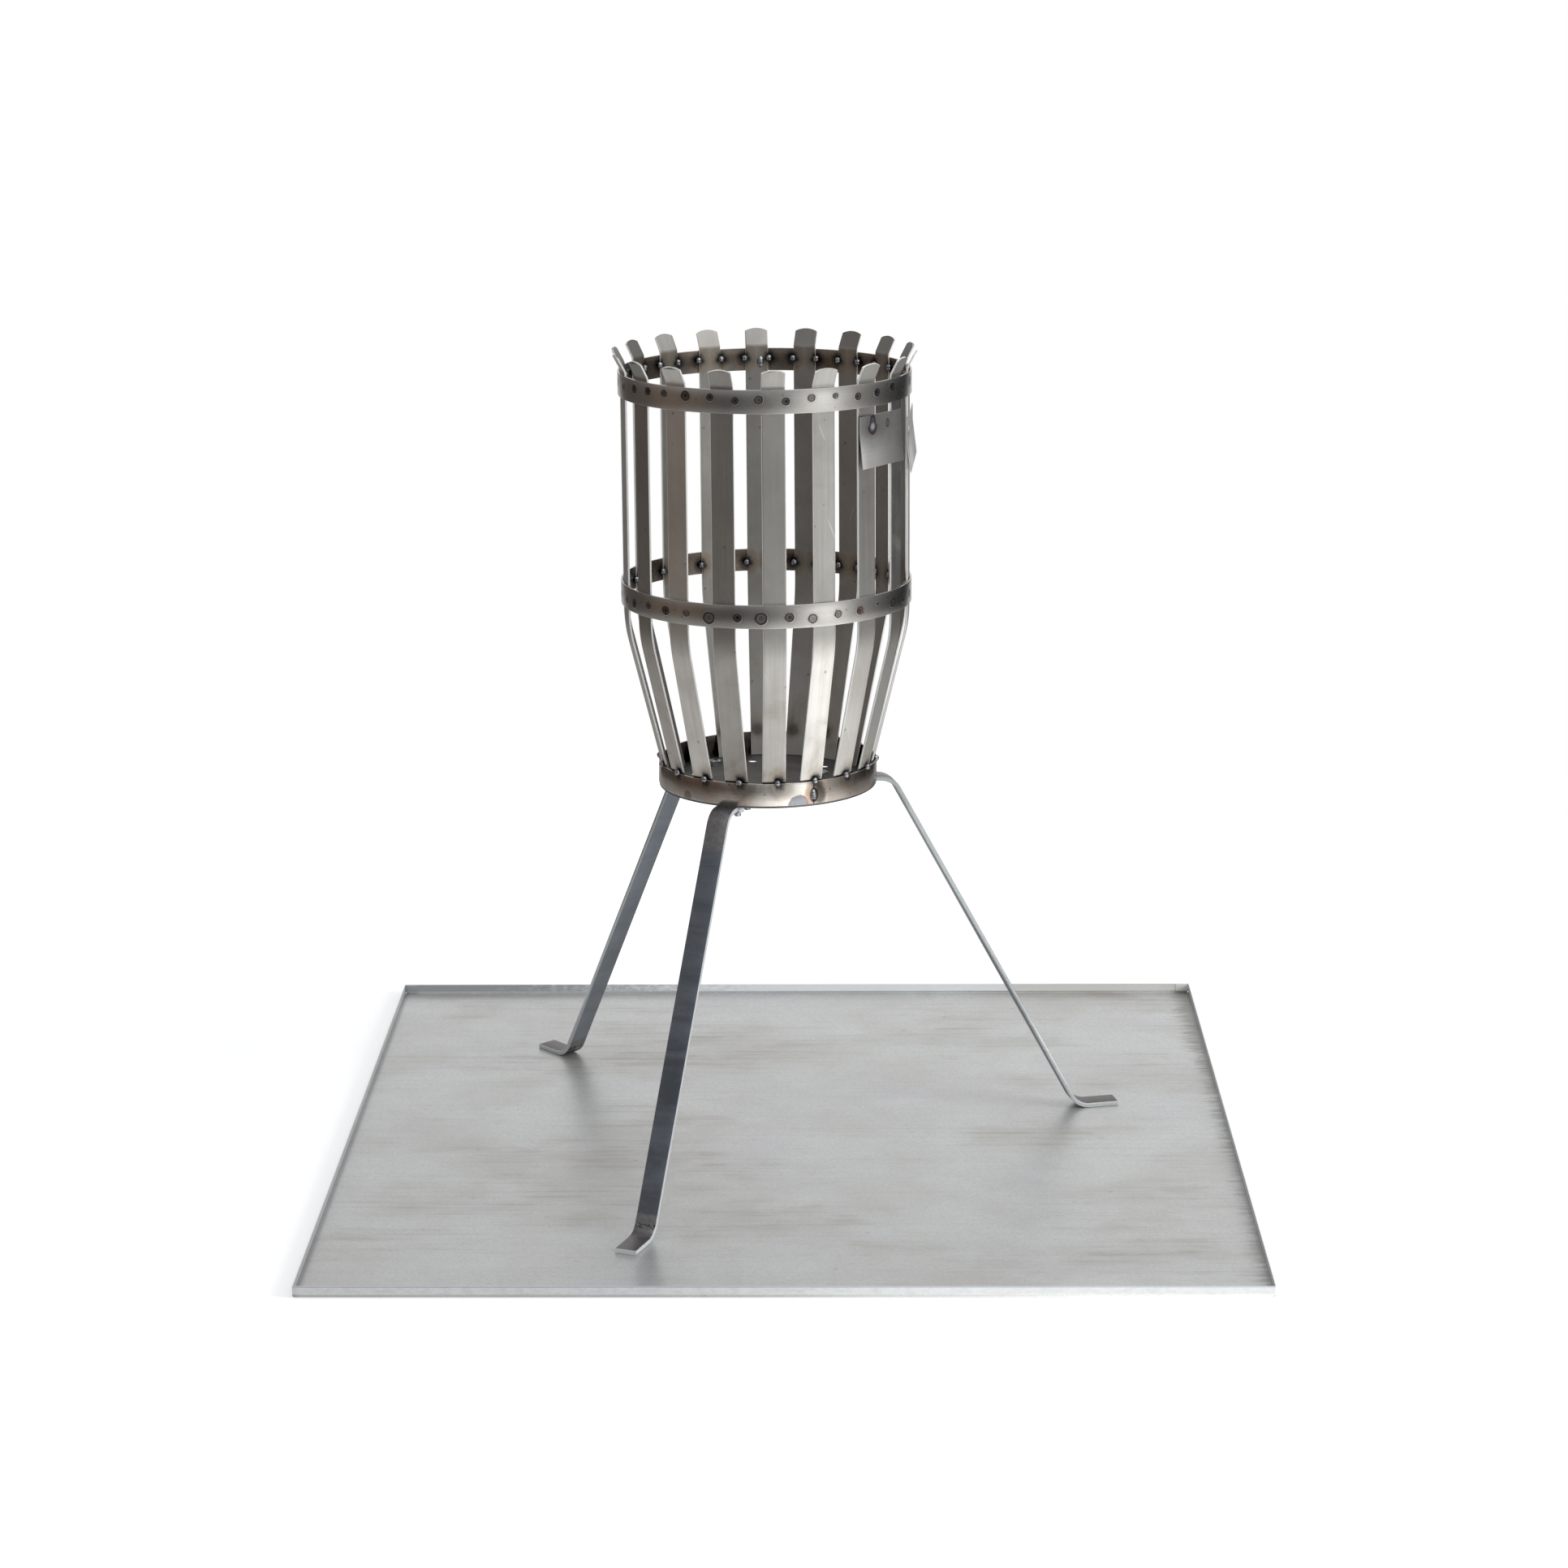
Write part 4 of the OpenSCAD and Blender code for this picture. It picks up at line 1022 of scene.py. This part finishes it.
def hexagon(bm, low, high, both_ends=False, bore=0.0):
    """A hexagon 13 mm across its flats, chamfered on top and, for a nut, below."""
    made = bmesh.ops.create_circle(bm, segments=6, radius=6.5 / math.cos(math.pi / 6) * MM)["verts"]
    ring = list(dict.fromkeys(e for v in made for e in v.link_edges))
    bmesh.ops.subdivide_edges(bm, edges=ring, cuts=5)
    verts = list(bm.verts)
    edges = list(bm.edges)
    flat_r = 6.2 * MM

    def drop(vert):
        return max(0.0, (vert.co.xy.length - flat_r)) * math.tan(math.radians(30))

    def climb(edges, verts, level, scale_in):
        """One more ring at a height; scale_in draws it onto the flat's circle."""
        new_verts, new_edges = last_ring(bmesh.ops.extrude_edge_only(bm, edges=edges)["geom"])
        for vert in new_verts:
            vert.co.z = level(vert)
            if scale_in:
                vert.co.xy = vert.co.xy.normalized() * flat_r
        return new_verts, new_edges

    for vert in verts:
        vert.co.z = low * MM + (drop(vert) if both_ends else 0)
    up_verts, up_edges = climb(edges, verts, lambda v: high * MM - drop(v), False)
    top_verts, top_edges = climb(up_edges, up_verts, lambda v: high * MM, True)
    close_ring(bm, top_edges)
    if both_ends:
        low_verts, low_edges = climb(edges, verts, lambda v: low * MM, True)
        close_ring(bm, low_edges)
    else:
        close_ring(bm, edges)


def thread(bm, low, high, radius, pitch=1.25, steps=20):
    """A helical tooth from high down to low, and the core inside it."""
    root = radius - 0.68
    turns = (high - low - pitch) / pitch
    tooth = [bm.verts.new((r * MM, 0, (high - drop) * MM)) for r, drop in
             ((root, 0), (radius, 0.45 * pitch), (radius, 0.58 * pitch), (root, pitch))]
    edges = [bm.edges.new(pair) for pair in zip(tooth, tooth[1:])]
    count = int(turns * steps)
    bmesh.ops.spin(bm, geom=tooth + edges, cent=(0, 0, 0), axis=(0, 0, 1), angle=2 * math.pi * count / steps,
                   steps=count, dvec=(0, 0, -pitch * MM / steps))
    bmesh.ops.create_cone(bm, cap_ends=True, segments=24, radius1=(root - 0.5) * MM, radius2=(root + 0.05) * MM,
                          depth=0.8 * MM, matrix=Matrix.Translation((0, 0, (low + 0.4) * MM)))
    bmesh.ops.create_cone(bm, cap_ends=True, segments=24, radius1=(root + 0.05) * MM, radius2=(root + 0.05) * MM,
                          depth=(high - low - 0.8) * MM, matrix=Matrix.Translation((0, 0, (high + low + 0.8) / 2 * MM)))


def bolt(bm):
    hexagon(bm, 410.2, 415.5)
    bmesh.ops.create_cone(bm, cap_ends=True, segments=32, radius1=4 * MM, radius2=4 * MM, depth=10.2 * MM,
                          matrix=Matrix.Translation((0, 0, 405.1 * MM)))
    thread(bm, 390.2, 400.4, 4.0)
    bmesh.ops.remove_doubles(bm, verts=bm.verts, dist=0.01 * MM)


def washer(bm):
    edges = bar_section(bm, 3.85, 1.6, 0.25, (1, 0, 0), (0, 0, 1), (6.075, 0, 402.2))
    verts = ends_of(edges)
    bmesh.ops.delete(bm, geom=bm.faces[:], context="FACES_ONLY")
    bmesh.ops.spin(bm, geom=verts + edges, cent=(0, 0, 0), axis=(0, 0, 1), angle=2 * math.pi, steps=48, use_merge=True)


def nut(bm):
    hexagon(bm, 394.8, 401.3, both_ends=True)


for name, make, node in (("bolts", bolt, "leg_bolts"), ("washers", washer, "leg_washers"), ("nuts", nut, "leg_nuts")):
    bm = copies(make, [on_basket(angle, reach, 0) @ Matrix.Rotation(math.radians(13 * k), 4, "Z")
                       for k, (angle, reach) in enumerate(BOLT_PLACES)])
    mark_faces(bm, "edge", lambda f: False)
    piece = settle(f"fixing_{name}", bm, PLATED, "basket", [node])
    print(piece.name, len(piece.data.polygons), "faces")

# %% [markdown]
# ## The weld beads
#
# A bead of weld is a small ball that has sagged a little before it froze. Each
# starts as a sphere, is drawn longer downwards, and is then moved by smooth
# noise, with another part of the noise for every bead. A bead over a butt joint
# is a longer oval with the ripples of the weld pool across it, sunk partway
# into the hoop where it meets it.

# %% Weld beads
noise.seed_set(1)


def lumpy(bm, amount, grain, seed):
    """Moves every vert a little by smooth noise, in millimetres."""
    for vert in bm.verts:
        where = vert.co / (grain * MM) + Vector((seed, 0, 0))
        vert.co += noise.noise_vector(where) * amount * MM


def ball(radius, sag):
    def make(bm):
        bmesh.ops.create_uvsphere(bm, u_segments=20, v_segments=12, radius=radius * MM)
        for vert in bm.verts:
            if vert.co.z < 0:
                vert.co.z *= sag
    return make


def make_beads(name, node, radius, sag, places):
    dice = random.Random(len(name))
    bm = copies(ball(radius, sag), [place @ Matrix.Rotation(dice.uniform(0, 6), 4, "Z") for place in places])
    lumpy(bm, 0.35, 2.6, 7.3)
    return settle(name, bm, BEAD, "basket", [node], crease=60)


beads = [
    make_beads("beads_at_feet", "stave_welds", 3.7, 1.08,
               [on_basket(turn - 90 + 1.8, 119.1, 435.7) for turn in STAVE_TURNS]),
    make_beads("beads_in_middle_hoop", "middle_hoop_welds", 3.55, 1.05,
               [on_basket(turn - 90, 154.4, 623.6) for turn in side_beads]),
    make_beads("beads_in_top_hoop", "top_hoop_welds", 3.55, 1.05,
               [on_basket(turn - 90, 154.4, 854.6) for turn in side_beads])]

bm = bmesh.new()
for k, (turn, radius, z) in enumerate(((25.5, BASE_R, 420.2), (174.0, HOOP_R, 623.1), (183.0, HOOP_R, 850.1))):
    bead = bmesh.ops.create_uvsphere(bm, u_segments=28, v_segments=36, radius=1.0)["verts"]
    for vert in bead:
        ripple = 1 + 0.035 * math.sin(vert.co.z * 17 + vert.co.y * 2)
        vert.co = Vector((vert.co.x * 4.5 * ripple, vert.co.y * 4.4 * ripple, vert.co.z * 6.95)) * MM
    bmesh.ops.transform(bm, matrix=on_basket(turn - 90, radius - 2.55, z), verts=bead)
lumpy(bm, 0.25, 3.0, 2.1)
joint_beads = settle("beads_over_joints", bm, BEAD, "basket", ["hoop_joint_welds"], crease=60)
print([bead.name for bead in beads], joint_beads.name)

# %% [markdown]
# ## The two bare plates
#
# Thin sheet, flat against the staves at the top and leaning out a little
# below. The front one bridges a gap between two staves. The side one lies on a
# single stave and has slipped round a few degrees.

# %% Plates
def make_plate(name, node, seat, angle, shift, top, askew):
    bm = bmesh.new()
    lean = math.radians(6)
    path = [(0, 0), (0, -18), (37 * math.sin(lean), -18 - 37 * math.cos(lean))]
    edges = bar_section(bm, 75.0, 1.0, 0.2, (0, 1, 0), (1, 0, 0), (0.5, 0, 0), columns=6)
    verts, edges = travel(bm, edges, path, [30], [6])
    close_ring(bm, edges)
    bmesh.ops.recalc_face_normals(bm, faces=bm.faces)
    mark_faces(bm, "edge", lambda f: abs(f.normal.y) > 0.3 or abs(f.normal.z) > 0.6)
    flat_map(bm, "strip", lambda loop, face: (loop.vert.co.y, loop.vert.co.z))
    place = on_basket(angle, seat, top) @ Matrix.Translation((0, shift * MM, 0))
    bmesh.ops.transform(bm, matrix=place @ Matrix.Rotation(math.radians(askew), 4, "X"), verts=bm.verts)
    return settle(name, bm, TAG, "basket", [node])


plates = [make_plate("plate_front", "front_tag", 155.408, 54.5 - 90, -6.0, 831.1, 0),
          make_plate("plate_side", "side_tag", 155.498, 84.5 - 90, 0.0, 818.1, 8)]
print([piece.name for piece in plates])

# %% [markdown]
# ## The tray
#
# One square of sheet whose four edges are folded up. The underside is a single
# face. Each fold is its edge spun a quarter turn, and the wall is that edge
# extruded. At each corner the wall's upright edge is spun round into the next
# wall, which leaves the small relief opening at the bottom of a folded corner.
# `solidify` then gives the sheet its thickness inwards. A short tab of each
# side wall laps over the end of the next one, inside.

# %% Tray
TRAY_W, TRAY_D, RIM_H, FOLD = 988.0, 1000.0, 12.0, 2.0
bm = bmesh.new()
bmesh.ops.create_grid(bm, x_segments=1, y_segments=1, size=0.5)
bmesh.ops.scale(bm, vec=((TRAY_W - 2 * FOLD) * MM, (TRAY_D - 2 * FOLD) * MM, 1), verts=bm.verts)
for edge in bm.edges[:]:
    middle = (edge.verts[0].co + edge.verts[1].co) / 2
    out = middle.normalized()
    axis = out.cross(Vector((0, 0, 1)))
    spun = bmesh.ops.spin(bm, geom=list(edge.verts) + [edge], cent=middle + Vector((0, 0, FOLD * MM)), axis=axis,
                          angle=math.pi / 2, steps=6)
    verts, edges = last_ring(spun["geom_last"])
    verts, edges = last_ring(bmesh.ops.extrude_edge_only(bm, edges=edges)["geom"])
    bmesh.ops.translate(bm, verts=verts, vec=(0, 0, (RIM_H - FOLD) * MM))
uprights = [e for e in bm.edges if abs(e.verts[0].co.z - e.verts[1].co.z) > 9 * MM and
            abs(abs(e.verts[0].co.x) - TRAY_W / 2 * MM) < 1e-6]
for edge in uprights:
    x, y = edge.verts[0].co.xy
    cent = Vector((x - math.copysign(FOLD * MM, x), y, 0))
    sense = 1 if x * y > 0 else -1
    bmesh.ops.spin(bm, geom=list(edge.verts) + [edge], cent=cent, axis=(0, 0, 1), angle=sense * math.pi / 2, steps=5)
bmesh.ops.remove_doubles(bm, verts=bm.verts, dist=0.01 * MM)
bmesh.ops.recalc_face_normals(bm, faces=bm.faces)
if bm.faces[0].normal.z > 0:
    bmesh.ops.reverse_faces(bm, faces=bm.faces)
bmesh.ops.solidify(bm, geom=bm.faces[:], thickness=1.0 * MM)
print("tray skin z from", round(min(v.co.z for v in bm.verts) / MM, 3), "to", round(max(v.co.z for v in bm.verts) / MM, 3),
      "x to", round(max(v.co.x for v in bm.verts) / MM, 3))
for sx in (-1, 1):
    for sy in (-1, 1):
        known = len(bm.verts)
        tab = bmesh.new()
        edges = bar_section(tab, 9.2, 0.7, 0.2, (0, 0, 1), (0, 1, 0), (0, 0, 0))
        verts, edges = last_ring(bmesh.ops.extrude_edge_only(tab, edges=edges)["geom"])
        bmesh.ops.translate(tab, verts=verts, vec=(15 * MM, 0, 0))
        close_ring(tab, edges)
        bmesh.ops.recalc_face_normals(tab, faces=tab.faces)
        lap = bpy.data.meshes.new("lap")
        tab.to_mesh(lap)
        tab.free()
        bm.from_mesh(lap)
        bpy.data.meshes.remove(lap)
        bm.verts.ensure_lookup_table()
        start = (TRAY_W / 2 - 1.6 - 15) if sx > 0 else -(TRAY_W / 2 - 1.6)
        bmesh.ops.translate(bm, vec=(start * MM, sy * (TRAY_D / 2 - 1.42) * MM, 6.75 * MM), verts=bm.verts[known:])
mark_faces(bm, "edge", lambda f: f.normal.z > 0.9 and f.calc_center_median().z > 11 * MM)
tray = settle("ash_tray", bm, ZINC_SHEET, "tray", ["tray"])
print(tray.name, len(tray.data.polygons), "faces")

# %% [markdown]
# ## The camera
#
# Its place, direction and lens were found by fitting the CAD model's corners to
# the photograph. It stands about four metres in front, a little above the
# basket, and looks down by some fifteen degrees.

# %% Camera
place = Vector((0.06917, -4.02413, 1.44916))
yaw, pitch, roll = -0.018279, 0.254404, -0.007230
ahead = Vector((math.sin(yaw) * math.cos(pitch), math.cos(yaw) * math.cos(pitch), -math.sin(pitch)))
level = Vector((math.cos(yaw), -math.sin(yaw), 0))
upward = level.cross(ahead)
right = math.cos(roll) * level + math.sin(roll) * upward
above = math.cos(roll) * upward - math.sin(roll) * level
lens = bpy.data.cameras.new("camera")
lens.lens = 86.389
lens.sensor_width = 36.0
lens.clip_end = 60.0
camera = bpy.data.objects.new("camera", lens)
stand = Matrix((right, above, -ahead)).transposed().to_4x4()
stand.translation = place
camera.matrix_world = stand
bpy.context.collection.objects.link(camera)
scene = bpy.context.scene
scene.camera = camera
print("camera", round((place - AXIS).length, 2), "m away")

# %% [markdown]
# ## Floor, light and backdrop
#
# The photograph was taken on a white sweep. The floor is a white disc. For the
# camera it gets a little light of its own, so that it is just white where
# nothing shades it and keeps the soft shadows. Metal has no look without
# something to mirror: behind the object that is the white sweep, and in front
# a dim room with one broad soft window at the right. Both the floor and the
# world show this to glossy rays only.

# %% Floor and world
floor_material = bpy.data.materials.new("white_floor")
floor_material.use_nodes = True
tree = floor_material.node_tree
tree.nodes.clear()
seen = tree.nodes.new("ShaderNodeLightPath").outputs
matt = tree.nodes.new("ShaderNodeBsdfDiffuse")
matt.inputs["Color"].default_value = (0.8, 0.8, 0.8, 1)
lift = tree.nodes.new("ShaderNodeEmission")
lift.inputs["Color"].default_value = (1, 1, 1, 1)
spot = tree.nodes.new("ShaderNodeTexCoord").outputs["Object"]
x, y, _ = split(tree, spot)
join(tree, between(tree, fade(tree, span(tree, x, y), 0.72, 1.2), 0.34, 0.55), lift.inputs["Strength"])
lifted = tree.nodes.new("ShaderNodeAddShader")
join(tree, matt.outputs[0], lifted.inputs[0])
join(tree, lift.outputs[0], lifted.inputs[1])
mirrored = tree.nodes.new("ShaderNodeEmission")
toward_light = calc(tree, "ADD", calc(tree, "MULTIPLY", x, 0.731), calc(tree, "MULTIPLY", y, -0.682))
toward_light = calc(tree, "DIVIDE", toward_light, calc(tree, "MAXIMUM", span(tree, x, y), 0.45))
toward_light = calc(tree, "POWER", calc(tree, "MAXIMUM", toward_light, 0.0), 4.0)
join(tree, mix(tree, toward_light, (0.9, 0.89, 0.87, 1), (3.1, 3.1, 3.05, 1)), mirrored.inputs["Color"])
join(tree, between(tree, fade(tree, span(tree, x, y), 0.68, 1.3), 1.1, 0.5), mirrored.inputs["Strength"])
for_camera = tree.nodes.new("ShaderNodeMixShader")
join(tree, seen["Is Camera Ray"], for_camera.inputs[0])
join(tree, matt.outputs[0], for_camera.inputs[1])
join(tree, lifted.outputs[0], for_camera.inputs[2])
for_metal = tree.nodes.new("ShaderNodeMixShader")
mirror_rays = calc(tree, "MAXIMUM", seen["Is Glossy Ray"], seen["Is Transmission Ray"])
join(tree, mirror_rays, for_metal.inputs[0])
join(tree, for_camera.outputs[0], for_metal.inputs[1])
join(tree, mirrored.outputs[0], for_metal.inputs[2])
surface = tree.nodes.new("ShaderNodeOutputMaterial")
join(tree, for_metal.outputs[0], surface.inputs["Surface"])

bm = bmesh.new()
bmesh.ops.create_circle(bm, cap_ends=True, segments=96, radius=1.75)
bmesh.ops.translate(bm, verts=bm.verts, vec=(0, 0, -0.0004))
mesh = bpy.data.meshes.new("floor")
bm.to_mesh(mesh)
bm.free()
mesh.materials.append(floor_material)
floor = bpy.data.objects.new("floor", mesh)
bpy.context.collection.objects.link(floor)

world = bpy.data.worlds.new("sweep_and_room")
scene.world = world
world.use_nodes = True
tree = world.node_tree
tree.nodes.clear()
seen = tree.nodes.new("ShaderNodeLightPath").outputs
x, y, z = split(tree, tree.nodes.new("ShaderNodeTexCoord").outputs["Generated"])
flat = calc(tree, "MAXIMUM", span(tree, x, y), 0.001)
turned = calc(tree, "ADD", calc(tree, "MULTIPLY", x, 0.731), calc(tree, "MULTIPLY", y, -0.682))
facing = calc(tree, "MAXIMUM", calc(tree, "DIVIDE", turned, flat), 0.0)
window = calc(tree, "ADD", calc(tree, "MULTIPLY", calc(tree, "POWER", facing, 18.0), 1.0),
              calc(tree, "MULTIPLY", calc(tree, "POWER", facing, 2.0), 0.26))
sideways = calc(tree, "DIVIDE", x, flat)
room = mix(tree, fade(tree, sideways, -0.4, -0.95), (0.09, 0.088, 0.086, 1), (0.23, 0.17, 0.13, 1))
low_right = calc(tree, "MULTIPLY", fade(tree, sideways, 0.1, 0.4), fade(tree, calc(tree, "DIVIDE", y, flat), -0.2, 0.3))
low_right = calc(tree, "MULTIPLY", low_right, fade(tree, z, 0.45, 0.15))
room = mix(tree, low_right, room, (0.03, 0.03, 0.032, 1))
behind_left = calc(tree, "MULTIPLY", fade(tree, calc(tree, "DIVIDE", y, flat), -0.1, 0.4), fade(tree, sideways, -0.2, -0.5))
room = mix(tree, behind_left, room, (0.13, 0.11, 0.10, 1))
bright = gather(tree, *[calc(tree, "MULTIPLY", window, share) for share in (1.6, 1.6, 1.57)])
room = mix(tree, 1.0, room, bright, "ADD")
pale_wall = calc(tree, "MULTIPLY", fade(tree, z, 0.04, 0.18), fade(tree, z, 0.62, 0.44))
room = mix(tree, calc(tree, "MULTIPLY", pale_wall, 0.75), room, (0.58, 0.58, 0.58, 1))
lit_floor = calc(tree, "ADD", calc(tree, "MULTIPLY", calc(tree, "POWER", facing, 4.0), 1.6), 0.6)
room = mix(tree, fade(tree, z, -0.3, -0.6), room, gather(tree, lit_floor, lit_floor, lit_floor))
overhead = mix(tree, fade(tree, x, -0.1, 0.5), (0.62, 0.63, 0.65, 1), (1.15, 1.15, 1.14, 1))
overhead_share = between(tree, fade(tree, x, -0.1, 0.5), 0.6, 0.95)
room = mix(tree, calc(tree, "MULTIPLY", fade(tree, z, 0.3, 0.85), overhead_share), room, overhead)
toward_box = calc(tree, "ADD", calc(tree, "MULTIPLY", x, 0.58), calc(tree, "MULTIPLY", y, -0.405))
toward_box = calc(tree, "ADD", toward_box, calc(tree, "MULTIPLY", z, 0.707))
toward_box = calc(tree, "MULTIPLY", fade(tree, toward_box, 0.74, 0.94), fade(tree, z, 0.38, 0.54))
room = mix(tree, toward_box, room, (2.6, 2.6, 2.57, 1))
room = mix(tree, fade(tree, calc(tree, "DIVIDE", y, flat), 0.84, 0.985), room, (1, 1, 1, 1))
mirror_rays = calc(tree, "MAXIMUM", seen["Is Glossy Ray"], seen["Is Transmission Ray"])
colour = mix(tree, mirror_rays, (0.76, 0.77, 0.78, 1), room)
colour = mix(tree, seen["Is Camera Ray"], colour, (1, 1, 1, 1))
sky = tree.nodes.new("ShaderNodeBackground")
join(tree, colour, sky.inputs["Color"])
join(tree, sky.outputs[0], tree.nodes.new("ShaderNodeOutputWorld").inputs["Surface"])
print("floor and world made")

# %% Lamp
def softbox(name, place, target, size, power, colour=(1, 1, 1)):
    lamp = bpy.data.lights.new(name, "AREA")
    lamp.shape = "RECTANGLE"
    lamp.size, lamp.size_y = size
    lamp.energy = power
    lamp.color = colour
    stand = bpy.data.objects.new(name, lamp)
    stand.location = place
    stand.rotation_euler = (Vector(target) - Vector(place)).to_track_quat("-Z", "Y").to_euler()
    stand.visible_glossy = False
    bpy.context.collection.objects.link(stand)


softbox("window_right", (2.65, -0.95, 1.45), (0, 0, 0.2), (1.2, 1.3), 50)

# %% [markdown]
# ## The view transform
#
# The render shows its colours with the Standard view transform. The dressed model has
# to stay inside the CAD model's box.

# %% View transform
scene.view_settings.view_transform = "Standard"
